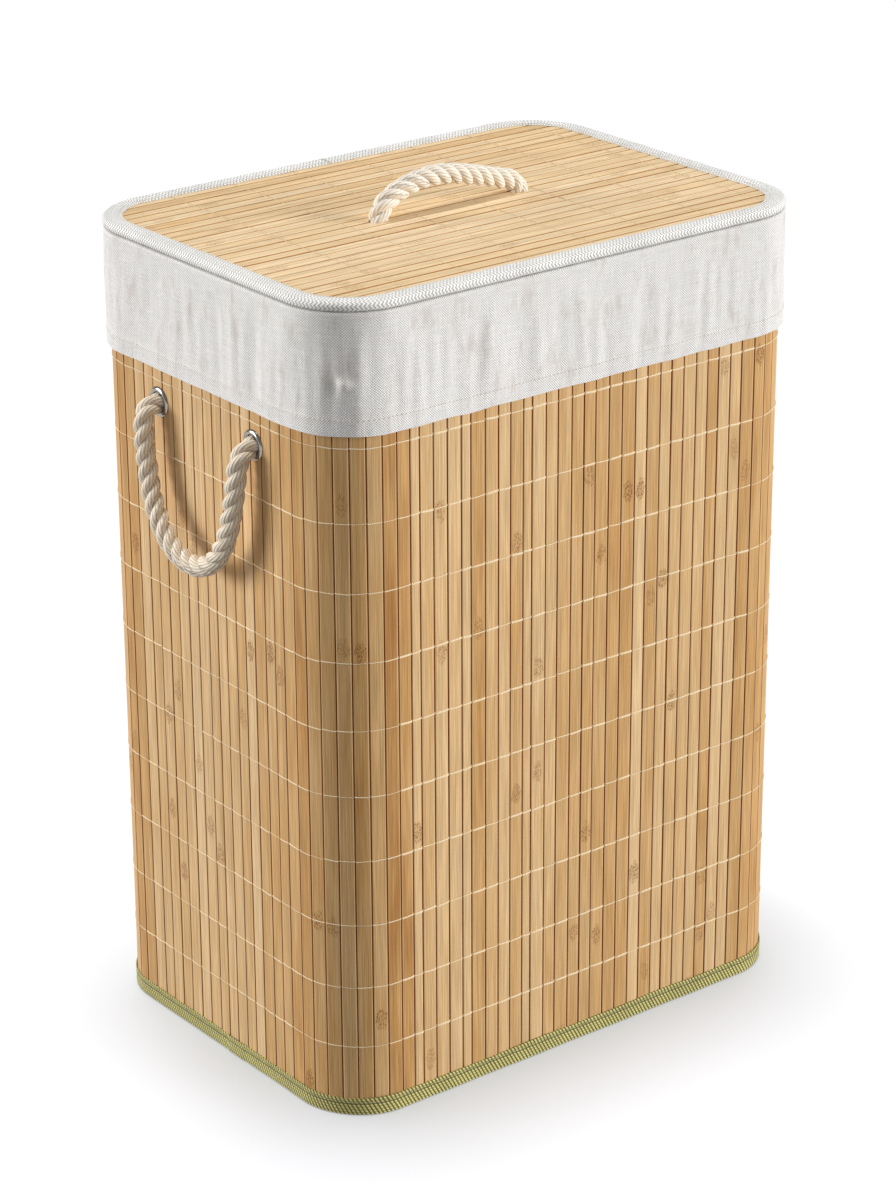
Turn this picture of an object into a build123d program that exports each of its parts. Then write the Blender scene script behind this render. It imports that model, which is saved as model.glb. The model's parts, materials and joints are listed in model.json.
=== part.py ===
"""Laundry hamper: bamboo slat wall on a cloth backing, fabric liner, rope handles and a hinged lid.

Millimetres, +Z up. The origin is on the floor under the middle of the body. X runs along the long
side, -Y is the front. Every size that is measured "in" or "out" counts from the outer face of the
wall slats, so one rounded outline drives the wall, the liner, the bindings and the lid.
"""
from build123d import *
from math import radians, tan
import os

# Body
BODY_WIDTH = 418.0
BODY_DEPTH = 300.0
CORNER_RADIUS = 50.0
WALL_TOP = 591.0
WALL_FOOT = 0.9

# Wall mat: slats, the cloth they are sewn to, the rows of thread
SLAT_THICKNESS = 1.8
SLAT_GAP = 0.7
SLATS_LONG_SIDE = 29
SLATS_SHORT_SIDE = 17
SLATS_CORNER = 7
CLOTH_THICKNESS = 0.8
PANEL_GAP = 0.05
THREAD_ROWS = [55, 101, 150, 199, 248, 297, 347, 397, 447, 500, 550]
THREAD_WIDTH = 1.0
THREAD_PROUD = 0.35
THREAD_LIFT = 0.05
MAT_THICKNESS = SLAT_THICKNESS + CLOTH_THICKNESS

# Bindings and wires of the wall
FOOT_TAPE_HEIGHT = 14.0
TAPE_THICKNESS = 0.8
RIM_TAPE_HEIGHT = 16.0
RIM_TAPE_THICKNESS = 0.7
TAPE_CLEARANCE = 0.1
RIM_WIRE_RADIUS = 1.5
RIM_WIRE_IN = 5.2
FOOT_WIRE_IN = 5.4
FOOT_WIRE_HEIGHT = 6.7

# Base
BASE_CLOTH = (0.9, 1.7)
BASE_BOARD = (1.8, 4.8)
BASE_CLOTH_IN = 3.6
BASE_BOARD_IN = 4.0

# Liner: flat bottom, hanging walls, cuff folded out over the rim
LINER_IN = 7.2
LINER_THICKNESS = 0.8
LINER_BOTTOM = 8.6
LINER_SPLIT = 570.0
CUFF_OUT = 3.0
CUFF_THICKNESS = 1.2
CUFF_FOOT = 509.0
CUFF_TOP = 593.3
CUFF_ROUND = 2.2

# Side handles: eyelets, knots and rope
EYELET_HEIGHT = 484.0
EYELET_HALF_PITCH = 56.5
EYELET_RADIUS = 11.0
EYELET_BORE = 7.3
EYELET_PROUD = 1.5
EYELET_ROUND = 1.3
EYELET_CUT_MARGIN = 1.0
BARREL_RADIUS = 8.1
BARREL_HOLE = 8.3
BARREL_CLEARANCE = 0.05
WASHER_THICKNESS = 0.65
CURL_RADIUS = 8.7
CURL_LENGTH = 0.6
SIDE_ROPE_RADIUS = 7.0
SIDE_KNOT_RADIUS = 12.5
SIDE_KNOT_LENGTH = 20.0
SIDE_KNOT_FACE = 4.6
KNOT_ROUND = 7.0
SIDE_PIVOT_OUT = 12.5
KNOT_POCKET_RADIUS = 15.0
KNOT_POCKET_DEPTH = 27.4

# Lid
LID_TOP = 600.0
LID_SLAT_THICKNESS = 1.8
LID_SLAT_COUNT = 27
LID_SLAT_GAP = 0.6
LID_SLAT_IN = 6.0
LID_BOARD = (595.2, 598.2)
LID_BOARD_IN = 0.8
LID_LINING = (594.65, 595.15)
LID_BINDING = (593.8, 600.95)
LID_BINDING_OUT = 3.5
LID_BINDING_IN = 12.5
LID_BINDING_THICKNESS = 0.85
LID_BINDING_ROUND = 3.2
OUTER_EDGE_MARGIN = 1.0
LID_WIRE_OUT = 1.0
LID_WIRE_HEIGHT = 597.0
LID_THREAD_FIRST = -139.3
LID_THREAD_PITCH = 53.3
LID_THREAD_ROWS = 7
LID_THREAD_IN = 13.0

# Lid handle
LID_HOLES = (-61.0, 66.0)
LID_ROPE_Y = -1.0
LID_ROPE_RADIUS = 6.5
LID_HOLE_RADIUS = 7.0
LID_PIVOT_HEIGHT = 605.5
LID_KNOT_RADIUS = 12.0
LID_KNOT_LENGTH = 20.0
LID_KNOT_FACE = 594.4

# Cloth hinge along the back of the lid
HINGE_WIDTH = 280.0
HINGE_FOOT = 556.0
HINGE_LAYER_TOPS = {
    "hinge_loop_tape": 580.0,
    "hinge_hook_tape": 580.0,
    "hinge_cloth_lower": 587.0,
}
HINGE_LAYER = 0.7
HINGE_LAYER_GAP = 0.05
HINGE_LID_STRIP = (594.4, 599.4)

# Rope routes between their two pivots. Side rope: out from the wall, Y, Z. Lid rope: X, Z.
PIVOT_GAP = 0.3
RUN_SHARE = 0.45
SIDE_ROPE_ROUTE = [
    (14, 54, 449),
    (15.5, 46, 419),
    (18, 28, 397),
    (19.5, 4, 387.5),
    (19.5, -21, 389),
    (18.5, -41, 403),
    (16.5, -51, 426),
    (14, -55, 454),
]
LID_ROPE_ROUTE = [(-48, 616.5), (-27, 623.5), (-2, 624), (22, 618.5), (45, 612)]

SIDES = {"left": -1, "right": 1}
ENDS = {"front": -1, "back": 1}


def save(piece, label):
    """Name a finished piece and write its file."""
    piece.part.label = label
    export_step(piece.part, f"parts/{label}.step")


def outline(inset, mode=Mode.ADD):
    """The hamper's rounded outline, moved in from the slats' outer face."""
    width = BODY_WIDTH - 2 * inset
    depth = BODY_DEPTH - 2 * inset
    RectangleRounded(width, depth, CORNER_RADIUS - inset, mode=mode)


def slab(label, inset, heights, hole_radius=0.0):
    """A flat sheet inside the outline, with holes for the lid rope if a radius is given."""
    with BuildPart() as piece:
        with BuildSketch(Plane.XY.offset(heights[0])):
            outline(inset)
            if hole_radius:
                with Locations(*[(x, LID_ROPE_Y) for x in LID_HOLES]):
                    Circle(hole_radius, mode=Mode.SUBTRACT)
        extrude(amount=heights[1] - heights[0])
    save(piece, label)


def band(outer, inner, bottom, top, mode=Mode.ADD):
    """A band that follows the outline, added to the part being built or cut from it."""
    with BuildSketch(Plane.XY.offset(bottom)) as section:
        outline(outer)
        outline(inner, mode=Mode.SUBTRACT)
    extrude(section.sketch, amount=top - bottom, mode=mode)


def disc(face, radius, length, bore=0.0, mode=Mode.ADD):
    """A round disc or sleeve that stands on a plane, added to the part being built or cut from it."""
    with BuildSketch(face) as section:
        Circle(radius)
        if bore:
            Circle(bore, mode=Mode.SUBTRACT)
    extrude(section.sketch, amount=length, mode=mode)


def wire_ring(label, inset, height, radius):
    """A round wire that follows the outline."""
    with BuildSketch(Plane.XY.offset(height)) as track:
        outline(inset)
    path = track.sketch.faces()[0].outer_wire()
    with BuildPart() as piece:
        with BuildSketch(Plane(origin=path @ 0, z_dir=path % 0)):
            Circle(radius)
        sweep(path=path)
    save(piece, label)


def wall_plane(side, end):
    """A plane at one eyelet's centre, on the slats' outer face, with its normal pointing out."""
    return Plane(
        origin=(side * BODY_WIDTH / 2, end * EYELET_HALF_PITCH, EYELET_HEIGHT),
        x_dir=(0, 1, 0),
        z_dir=(side, 0, 0),
    )


def cut_eyelet_holes(side):
    """Cut both eyelet holes of a short side through the part being built."""
    for end in ENDS.values():
        behind = wall_plane(side, end).offset(-MAT_THICKNESS - EYELET_CUT_MARGIN)
        depth = MAT_THICKNESS + 2 * EYELET_CUT_MARGIN
        disc(behind, BARREL_HOLE, depth, mode=Mode.SUBTRACT)


def corner_centre(side, end):
    """The centre of one corner's arc."""
    x = side * (BODY_WIDTH / 2 - CORNER_RADIUS)
    y = end * (BODY_DEPTH / 2 - CORNER_RADIUS)
    return x, y


def corner_start(side, end):
    """The angle at which one corner's quarter turn starts."""
    return {(1, 1): 0, (-1, 1): 90, (-1, -1): 180, (1, -1): 270}[(side, end)]


def arc_face(centre, outer, inner, start, sweep_angle):
    """A piece of a ring, as a face in the sketch being built."""
    with BuildLine() as edge:
        outside = CenterArc(centre, outer, start, sweep_angle)
        inside = CenterArc(centre, inner, start, sweep_angle)
        Line(outside @ 0, inside @ 0)
        Line(outside @ 1, inside @ 1)
    make_face(edge.edges())


def straight_slats(label, count, length, along_x, side_or_end):
    """One flat side's slats, each a separate solid."""
    pitch = length / count
    out = (BODY_DEPTH if along_x else BODY_WIDTH) / 2 - SLAT_THICKNESS / 2
    spot = (0, side_or_end * out) if along_x else (side_or_end * out, 0)
    size = (pitch - SLAT_GAP, SLAT_THICKNESS)
    with BuildPart() as piece:
        with BuildSketch(Plane.XY.offset(WALL_FOOT)):
            with Locations(spot):
                if along_x:
                    with GridLocations(pitch, 0, count, 1):
                        Rectangle(*size)
                else:
                    with GridLocations(0, pitch, 1, count):
                        Rectangle(size[1], size[0])
        extrude(amount=WALL_TOP - WALL_FOOT)
        if not along_x:
            cut_eyelet_holes(side_or_end)
    save(piece, label)


def corner_slats(label, side, end):
    """One corner's slats, bent round as narrow staves."""
    pitch = 90 / SLATS_CORNER
    gap = SLAT_GAP / radians(1) / CORNER_RADIUS
    start = corner_start(side, end)
    with BuildPart() as piece:
        with BuildSketch(Plane.XY.offset(WALL_FOOT)):
            for index in range(SLATS_CORNER):
                arc_face(
                    corner_centre(side, end),
                    CORNER_RADIUS,
                    CORNER_RADIUS - SLAT_THICKNESS,
                    start + index * pitch + gap / 2,
                    pitch - gap,
                )
        extrude(amount=WALL_TOP - WALL_FOOT)
    save(piece, label)


def straight_cloth(label, length, along_x, side_or_end):
    """The backing cloth behind one flat side."""
    out = (BODY_DEPTH if along_x else BODY_WIDTH) / 2 - SLAT_THICKNESS - CLOTH_THICKNESS / 2
    spot = (0, side_or_end * out) if along_x else (side_or_end * out, 0)
    long = length - 2 * PANEL_GAP
    with BuildPart() as piece:
        with BuildSketch(Plane.XY.offset(WALL_FOOT)):
            with Locations(spot):
                if along_x:
                    Rectangle(long, CLOTH_THICKNESS)
                else:
                    Rectangle(CLOTH_THICKNESS, long)
        extrude(amount=WALL_TOP - WALL_FOOT)
        if not along_x:
            cut_eyelet_holes(side_or_end)
    save(piece, label)


def corner_cloth(label, side, end):
    """The backing cloth round one corner."""
    outer = CORNER_RADIUS - SLAT_THICKNESS
    with BuildPart() as piece:
        with BuildSketch(Plane.XY.offset(WALL_FOOT)):
            arc_face(
                corner_centre(side, end), outer, outer - CLOTH_THICKNESS, corner_start(side, end), 90
            )
        extrude(amount=WALL_TOP - WALL_FOOT)
    save(piece, label)


def build_wall():
    """Slats, backing cloth, thread, bindings and wires of the wall."""
    long_side = BODY_WIDTH - 2 * CORNER_RADIUS
    short_side = BODY_DEPTH - 2 * CORNER_RADIUS
    for name, end in ENDS.items():
        straight_slats(f"wall_slats_{name}", SLATS_LONG_SIDE, long_side, True, end)
        straight_cloth(f"wall_cloth_{name}", long_side, True, end)
    for name, side in SIDES.items():
        straight_slats(f"wall_slats_{name}", SLATS_SHORT_SIDE, short_side, False, side)
        straight_cloth(f"wall_cloth_{name}", short_side, False, side)
        for end_name, end in ENDS.items():
            corner_slats(f"corner_slats_{end_name}_{name}", side, end)
            corner_cloth(f"corner_cloth_{end_name}_{name}", side, end)

    with BuildPart() as threads:
        for height in THREAD_ROWS:
            band(
                -THREAD_PROUD, -THREAD_LIFT, height - THREAD_WIDTH / 2, height + THREAD_WIDTH / 2
            )
    save(threads, "wall_threads")

    tape_in = MAT_THICKNESS + TAPE_CLEARANCE
    with BuildPart() as foot_tape:
        band(-TAPE_THICKNESS, tape_in + TAPE_THICKNESS, 0, FOOT_TAPE_HEIGHT)
        band(0, tape_in, TAPE_THICKNESS, FOOT_TAPE_HEIGHT, mode=Mode.SUBTRACT)
    save(foot_tape, "foot_binding_tape")

    tape_out = RIM_TAPE_THICKNESS + TAPE_CLEARANCE
    channel_top = WALL_TOP + TAPE_CLEARANCE
    with BuildPart() as rim_tape:
        band(
            -tape_out,
            tape_in + RIM_TAPE_THICKNESS,
            WALL_TOP - RIM_TAPE_HEIGHT,
            channel_top + RIM_TAPE_THICKNESS,
        )
        band(
            -TAPE_CLEARANCE, tape_in, WALL_TOP - RIM_TAPE_HEIGHT, channel_top, mode=Mode.SUBTRACT
        )
    save(rim_tape, "rim_binding_tape")

    wire_ring("rim_wire", RIM_WIRE_IN, WALL_TOP - RIM_WIRE_RADIUS, RIM_WIRE_RADIUS)
    wire_ring("foot_wire", FOOT_WIRE_IN, FOOT_WIRE_HEIGHT, RIM_WIRE_RADIUS)


def build_liner():
    """The liner's bottom, its walls with room for the rope knots, and its cuff."""
    floor_heights = (LINER_BOTTOM, LINER_BOTTOM + LINER_THICKNESS)
    slab("liner_bottom", LINER_IN, floor_heights)

    with BuildPart() as liner_wall:
        band(LINER_IN, LINER_IN + LINER_THICKNESS, floor_heights[1], LINER_SPLIT)
        for side in SIDES.values():
            for end in ENDS.values():
                face = wall_plane(side, end)
                depth = KNOT_POCKET_DEPTH + LINER_THICKNESS
                disc(face.offset(-depth), KNOT_POCKET_RADIUS + LINER_THICKNESS, depth - LINER_IN)
                pocket = face.offset(-KNOT_POCKET_DEPTH)
                disc(pocket, KNOT_POCKET_RADIUS, KNOT_POCKET_DEPTH, mode=Mode.SUBTRACT)
    save(liner_wall, "liner_wall")

    inner_leg = LINER_IN + LINER_THICKNESS
    with BuildPart() as cuff:
        band(-CUFF_OUT, inner_leg, CUFF_FOOT, CUFF_TOP)
        rim_edges = cuff.edges().group_by(Axis.Z)[-1]
        fillet(rim_edges, CUFF_ROUND)
        band(
            CUFF_THICKNESS - CUFF_OUT,
            LINER_IN,
            CUFF_FOOT,
            CUFF_TOP - CUFF_THICKNESS,
            mode=Mode.SUBTRACT,
        )
        band(LINER_IN, inner_leg, CUFF_FOOT, LINER_SPLIT, mode=Mode.SUBTRACT)
    save(cuff, "liner_cuff")


def build_eyelets():
    """Each eyelet is a flanged barrel that is curled over a washer behind the cloth."""
    barrel_length = MAT_THICKNESS + WASHER_THICKNESS + BARREL_CLEARANCE
    for side_name, side in SIDES.items():
        for end_name, end in ENDS.items():
            face = wall_plane(side, end)
            with BuildPart() as eyelet:
                disc(face, EYELET_RADIUS, EYELET_PROUD, EYELET_BORE)
                outer_face = eyelet.faces().sort_by(Axis.X)[-1 if side > 0 else 0]
                fillet(outer_face.edges(), EYELET_ROUND)
                disc(face.offset(-barrel_length), BARREL_RADIUS, barrel_length, EYELET_BORE)
                curl = face.offset(-barrel_length - CURL_LENGTH)
                disc(curl, CURL_RADIUS, CURL_LENGTH, EYELET_BORE)
            save(eyelet, f"eyelet_{end_name}_{side_name}")

            with BuildPart() as washer:
                behind = face.offset(-MAT_THICKNESS - WASHER_THICKNESS)
                disc(behind, EYELET_RADIUS, WASHER_THICKNESS, BARREL_HOLE)
            save(washer, f"eyelet_washer_{end_name}_{side_name}")


def knot(label, face, radius, length):
    """A stopper knot as a rounded drum: its flat end lies on the plane and it hangs behind it."""
    with BuildPart() as piece:
        disc(face.offset(-length), radius, length)
        fillet(piece.edges().filter_by(GeomType.CIRCLE), KNOT_ROUND)
    save(piece, label)


def rope_end(face, length, radius):
    """The fixed end of a rope: straight out of its hole to a ball at the pivot."""
    disc(face, radius, length)
    with Locations(face.offset(length)):
        Sphere(radius)


def rope_loop(label, route, radius):
    """The moving part of a rope, from pivot to pivot, as straight runs joined by large arcs.

    Its ends stop just clear of the balls at the two pivots.
    """
    points = [Vector(*point) for point in route]
    reach = radius + PIVOT_GAP
    points[0] += (points[1] - points[0]).normalized() * reach
    points[-1] += (points[-2] - points[-1]).normalized() * reach
    runs = [after - before for before, after in zip(points, points[1:])]
    radii = []
    for before, after in zip(runs, runs[1:]):
        half_turn = radians(before.get_angle(after) / 2)
        radii.append(RUN_SHARE * min(before.length, after.length) / tan(half_turn))
    with BuildPart() as piece:
        with BuildLine():
            path = FilletPolyline(*points, radius=radii)
        with BuildSketch(Plane(origin=path @ 0, z_dir=path % 0)) as section:
            Circle(radius)
        sweep()
    length = path.length
    expected = section.sketch.area * length
    print(label, "length", round(length, 1), "radii", [round(value, 1) for value in radii])
    print(label, "volume over section times length", round(piece.part.volume / expected, 4))
    save(piece, label)


def build_side_handles():
    """Rope knots, fixed rope ends and the hanging loops of both short sides."""
    for side_name, side in SIDES.items():
        for end_name, end in ENDS.items():
            face = wall_plane(side, end).offset(-SIDE_KNOT_FACE)
            knot(f"rope_knot_{end_name}_{side_name}", face, SIDE_KNOT_RADIUS, SIDE_KNOT_LENGTH)
        with BuildPart() as rope_ends:
            for end in ENDS.values():
                face = wall_plane(side, end).offset(-SIDE_KNOT_FACE)
                rope_end(face, SIDE_KNOT_FACE + SIDE_PIVOT_OUT, SIDE_ROPE_RADIUS)
        save(rope_ends, f"rope_ends_{side_name}")

        pivot_back = (SIDE_PIVOT_OUT, EYELET_HALF_PITCH, EYELET_HEIGHT)
        pivot_front = (SIDE_PIVOT_OUT, -EYELET_HALF_PITCH, EYELET_HEIGHT)
        route = [pivot_back, *SIDE_ROPE_ROUTE, pivot_front]
        placed = [(side * (BODY_WIDTH / 2 + out), y, z) for out, y, z in route]
        rope_loop(f"rope_loop_{side_name}", placed, SIDE_ROPE_RADIUS)


def build_lid():
    """The lid's slats, board, lining, binding, wire and thread."""
    slat_field = BODY_DEPTH - 2 * LID_SLAT_IN
    pitch = slat_field / LID_SLAT_COUNT
    with BuildPart() as slats:
        with BuildSketch(Plane.XY.offset(LID_TOP - LID_SLAT_THICKNESS)):
            with GridLocations(0, pitch, 1, LID_SLAT_COUNT):
                Rectangle(BODY_WIDTH, pitch - LID_SLAT_GAP)
            outline(LID_SLAT_IN, mode=Mode.INTERSECT)
            with Locations(*[(x, LID_ROPE_Y) for x in LID_HOLES]):
                Circle(LID_HOLE_RADIUS, mode=Mode.SUBTRACT)
        extrude(amount=LID_SLAT_THICKNESS)
    save(slats, "lid_slats")

    slab("lid_board", LID_BOARD_IN, LID_BOARD, LID_HOLE_RADIUS)
    slab("lid_lining", LID_BOARD_IN, LID_LINING, LID_HOLE_RADIUS)
    wire_ring("lid_wire", -LID_WIRE_OUT, LID_WIRE_HEIGHT, RIM_WIRE_RADIUS)

    bottom, top = LID_BINDING
    with BuildPart() as hollow:
        with BuildSketch(Plane.XY.offset(bottom + LID_BINDING_THICKNESS)):
            outline(LID_BINDING_THICKNESS - LID_BINDING_OUT)
        extrude(amount=top - bottom - 2 * LID_BINDING_THICKNESS)
        rim = hollow.edges().group_by(Axis.Z)
        fillet(rim[0] + rim[-1], LID_BINDING_ROUND - LID_BINDING_THICKNESS)
    with BuildPart() as binding:
        band(-LID_BINDING_OUT, LID_BINDING_IN, bottom, top)
        outer_rim = [
            edge
            for edge in binding.edges().group_by(Axis.Z)[0] + binding.edges().group_by(Axis.Z)[-1]
            if on_outer_edge(edge)
        ]
        fillet(outer_rim, LID_BINDING_ROUND)
        add(hollow.part, mode=Mode.SUBTRACT)
    save(binding, "lid_binding")

    with BuildPart() as threads:
        length = BODY_DEPTH - 2 * LID_THREAD_IN
        with BuildSketch(Plane.XY.offset(LID_TOP + THREAD_LIFT)):
            for row in range(LID_THREAD_ROWS):
                with Locations((LID_THREAD_FIRST + row * LID_THREAD_PITCH, 0)):
                    Rectangle(THREAD_WIDTH, length)
            outline(LID_THREAD_IN, mode=Mode.INTERSECT)
        extrude(amount=THREAD_PROUD)
    save(threads, "lid_threads")


def on_outer_edge(edge):
    """True for an edge of the lid's outer outline."""
    spot = edge @ 0.5
    beyond_x = abs(spot.X) > BODY_WIDTH / 2 - LID_BINDING_IN + OUTER_EDGE_MARGIN
    beyond_y = abs(spot.Y) > BODY_DEPTH / 2 - LID_BINDING_IN + OUTER_EDGE_MARGIN
    centre_x, centre_y = corner_centre(1, 1)
    corner_reach = Vector(abs(spot.X) - centre_x, abs(spot.Y) - centre_y).length
    in_corner = abs(spot.X) > centre_x and abs(spot.Y) > centre_y
    if in_corner:
        return corner_reach > CORNER_RADIUS
    return beyond_x or beyond_y


def build_lid_handle():
    """Knots under the lid, the fixed rope ends and the arched rope above it."""
    names = ("left", "right")
    for name, x in zip(names, LID_HOLES):
        face = Plane(origin=(x, LID_ROPE_Y, LID_KNOT_FACE))
        knot(f"lid_knot_{name}", face, LID_KNOT_RADIUS, LID_KNOT_LENGTH)
    with BuildPart() as rope_ends:
        for x in LID_HOLES:
            face = Plane(origin=(x, LID_ROPE_Y, LID_KNOT_FACE))
            rope_end(face, LID_PIVOT_HEIGHT - LID_KNOT_FACE, LID_ROPE_RADIUS)
    save(rope_ends, "lid_rope_ends")

    pivots = [(x, LID_PIVOT_HEIGHT) for x in LID_HOLES]
    route = [pivots[0], *LID_ROPE_ROUTE, pivots[1]]
    rope_loop("lid_rope_arch", [(x, LID_ROPE_Y, z) for x, z in route], LID_ROPE_RADIUS)


def hinge_layer(label, near, heights):
    """One flat strip of the cloth hinge, standing behind the back edge."""
    with BuildPart() as piece:
        with BuildSketch(Plane.XY.offset(heights[0])):
            with Locations((0, near + HINGE_LAYER / 2)):
                Rectangle(HINGE_WIDTH, HINGE_LAYER)
        extrude(amount=heights[1] - heights[0])
    save(piece, label)


def build_hinge():
    """The two sewn ends of the cloth hinge, and the hook and loop tape under the lower one."""
    near = BODY_DEPTH / 2 + CUFF_OUT + HINGE_LAYER_GAP
    for name, top in HINGE_LAYER_TOPS.items():
        hinge_layer(name, near, (HINGE_FOOT, top))
        near += HINGE_LAYER + HINGE_LAYER_GAP
    lid_edge = BODY_DEPTH / 2 + LID_BINDING_OUT + HINGE_LAYER_GAP
    hinge_layer("hinge_cloth_upper", lid_edge, HINGE_LID_STRIP)


os.makedirs("parts", exist_ok=True)
build_wall()
slab("base_cloth", BASE_CLOTH_IN, BASE_CLOTH)
slab("base_board", BASE_BOARD_IN, BASE_BOARD)
build_liner()
build_eyelets()
build_side_handles()
build_lid()
build_lid_handle()
build_hinge()
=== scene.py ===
"""Looks of the laundry hamper: bamboo slats, sewing thread, woven tapes, linen liner, laid ropes.

Metres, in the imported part's own frame. Whatever goes round the hamper follows one rounded outline:
distance is how far along it, and out is how far outside the wall slats' outer face.
"""
import json
import math
from contextlib import contextmanager

import bmesh
import bpy
import numpy as np
from mathutils import Matrix, Vector


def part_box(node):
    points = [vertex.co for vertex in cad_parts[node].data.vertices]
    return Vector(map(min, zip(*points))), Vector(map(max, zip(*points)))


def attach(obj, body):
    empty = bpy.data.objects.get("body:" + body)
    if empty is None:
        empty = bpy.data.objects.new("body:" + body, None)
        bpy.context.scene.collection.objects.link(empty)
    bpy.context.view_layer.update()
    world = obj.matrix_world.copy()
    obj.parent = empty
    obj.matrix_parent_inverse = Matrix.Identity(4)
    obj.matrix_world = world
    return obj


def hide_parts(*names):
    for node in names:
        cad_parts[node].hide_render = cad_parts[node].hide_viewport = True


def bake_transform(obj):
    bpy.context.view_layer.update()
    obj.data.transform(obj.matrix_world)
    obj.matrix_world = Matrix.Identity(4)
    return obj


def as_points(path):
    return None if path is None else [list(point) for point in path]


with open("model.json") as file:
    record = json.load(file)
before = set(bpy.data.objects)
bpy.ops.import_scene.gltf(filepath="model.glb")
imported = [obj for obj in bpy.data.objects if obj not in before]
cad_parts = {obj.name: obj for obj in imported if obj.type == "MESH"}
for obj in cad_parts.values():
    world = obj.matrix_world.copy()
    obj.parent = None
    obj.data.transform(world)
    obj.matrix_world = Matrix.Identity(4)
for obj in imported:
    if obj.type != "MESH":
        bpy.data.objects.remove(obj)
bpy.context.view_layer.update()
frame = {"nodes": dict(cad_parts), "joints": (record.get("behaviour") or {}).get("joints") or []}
MM = 0.001
FULL_TURN = 2 * math.pi


def middle_of(node, axis):
    """The middle of a CAD node's box along an axis."""
    low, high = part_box(node)
    return (low[axis] + high[axis]) / 2


# The hamper's sizes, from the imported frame
WALL_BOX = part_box("wall_slats_front")
SLAT_GAP = 0.35 * MM  # from the end of a straight wall's CAD slats to the corner
HALF_X = -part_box("wall_slats_left")[0].x
HALF_Y = -WALL_BOX[0].y
CORNER = HALF_X - WALL_BOX[1].x - SLAT_GAP
SLAT_THICKNESS = WALL_BOX[1].y - WALL_BOX[0].y
WALL_ENDS = (WALL_BOX[0].z, WALL_BOX[1].z)
LID_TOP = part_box("lid_slats")[1].z
EYELET_Y = middle_of("eyelet_back_left", 1)
EYELET_Z = middle_of("eyelet_back_left", 2)

SIDES = (("left", -1), ("right", 1))
ENDS = (("front", -1), ("back", 1))
CORNER_NAMES = [(f"{end}_{side}", y, x) for side, x in SIDES for end, y in ENDS]

# Rope routes in metres, the same points as the CAD tubes with the ends inside the holes.
# Side ropes: out from the slats, Y, Z. Lid rope: X, Z.
SIDE_ROPE_DIAMETER = 0.014
SIDE_ROPE_ROUTE = [
    (-0.003, 0.0565, 0.484),
    (0.0115, 0.0565, 0.483),
    (0.0145, 0.0555, 0.470),
    (0.0145, 0.053, 0.446),
    (0.0155, 0.046, 0.419),
    (0.018, 0.028, 0.397),
    (0.0195, 0.004, 0.3865),
    (0.0195, -0.021, 0.388),
    (0.0185, -0.041, 0.403),
    (0.0165, -0.051, 0.428),
    (0.0145, -0.055, 0.456),
    (0.0115, -0.0565, 0.482),
    (-0.003, -0.0565, 0.484),
]
LID_ROPE_DIAMETER = 0.013
LID_ROPE_SWELL = 1.08  # how much thicker the lid rope looks than its tube
LID_ROPE_Y = -0.001
LID_ROPE_ROUTE = [
    (-0.061, 0.5945),
    (-0.0605, 0.607),
    (-0.048, 0.6165),
    (-0.027, 0.6235),
    (-0.002, 0.624),
    (0.022, 0.6185),
    (0.045, 0.612),
    (0.0625, 0.6075),
    (0.066, 0.5945),
]


# ------------ camera and mesh helpers

def put(name, data):
    """A new object in the scene."""
    thing = bpy.data.objects.new(name, data)
    bpy.context.scene.collection.objects.link(thing)
    return thing


def make_camera():
    """A long lens at the product shot's angle, with a slight roll."""
    azimuth, elevation, roll = (math.radians(angle) for angle in (-37.885, 22.276, -0.273))
    distance = 2.6421
    target = Vector((-0.0002, 0.0001, 0.3022))
    level = math.cos(elevation)
    back = Vector((math.sin(azimuth) * level, -math.cos(azimuth) * level, math.sin(elevation)))
    data = bpy.data.cameras.new("camera")
    data.sensor_width = 36
    data.lens = 108.59
    camera = put("camera", data)
    turn = Matrix.Rotation(roll, 3, back) @ (-back).to_track_quat("-Z", "Y").to_matrix()
    camera.matrix_world = Matrix.Translation(target + back * distance) @ turn.to_4x4()
    bpy.context.scene.camera = camera


@contextmanager
def opened(mesh):
    """A mesh opened for editing, and written back afterwards."""
    work = bmesh.new()
    work.from_mesh(mesh)
    yield work
    work.to_mesh(mesh)
    work.free()


def make_object(name, verts, faces):
    """A smooth-shaded object from points and faces, with its normals turned outwards."""
    mesh = bpy.data.meshes.new(name)
    mesh.from_pydata([tuple(v) for v in verts], [], faces)
    with opened(mesh) as work:
        bmesh.ops.recalc_face_normals(work, faces=work.faces)
    mesh.polygons.foreach_set("use_smooth", [True] * len(mesh.polygons))
    mesh.update()
    return put(name, mesh)


def add_attributes(piece, values):
    """Numbers for each point of a mesh, which its material reads by name."""
    for name, numbers in values.items():
        attribute = piece.data.attributes.new(name, "FLOAT", "POINT")
        attribute.data.foreach_set("value", np.asarray(numbers, np.float32))


def grid_faces(rows, columns, close_rows=False, close_columns=False):
    """Quads of a grid whose point (i, j) is number i * columns + j."""
    faces = []
    for i in range(rows if close_rows else rows - 1):
        for j in range(columns if close_columns else columns - 1):
            i2 = (i + 1) % rows
            j2 = (j + 1) % columns
            faces.append((i * columns + j, i * columns + j2, i2 * columns + j2, i2 * columns + j))
    return faces


def tube_faces(rows, around):
    """Quads round a tube, and a cap at each end."""
    caps = [tuple(range(around)), tuple(range((rows - 1) * around, rows * around))]
    return grid_faces(rows, around, close_columns=True) + caps


class Shape:
    """Collects points, faces and point attributes of many small closed bodies."""

    def __init__(self, *attribute_names):
        self.verts = []
        self.faces = []
        self.values = {name: [] for name in attribute_names}

    def add(self, verts, faces, **values):
        start = len(self.verts)
        self.verts.extend(verts)
        self.faces.extend([tuple(index + start for index in face) for face in faces])
        for name, store in self.values.items():
            store.extend(values[name])

    def build(self, name):
        piece = make_object(name, self.verts, self.faces)
        add_attributes(piece, self.values)
        return piece


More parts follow.
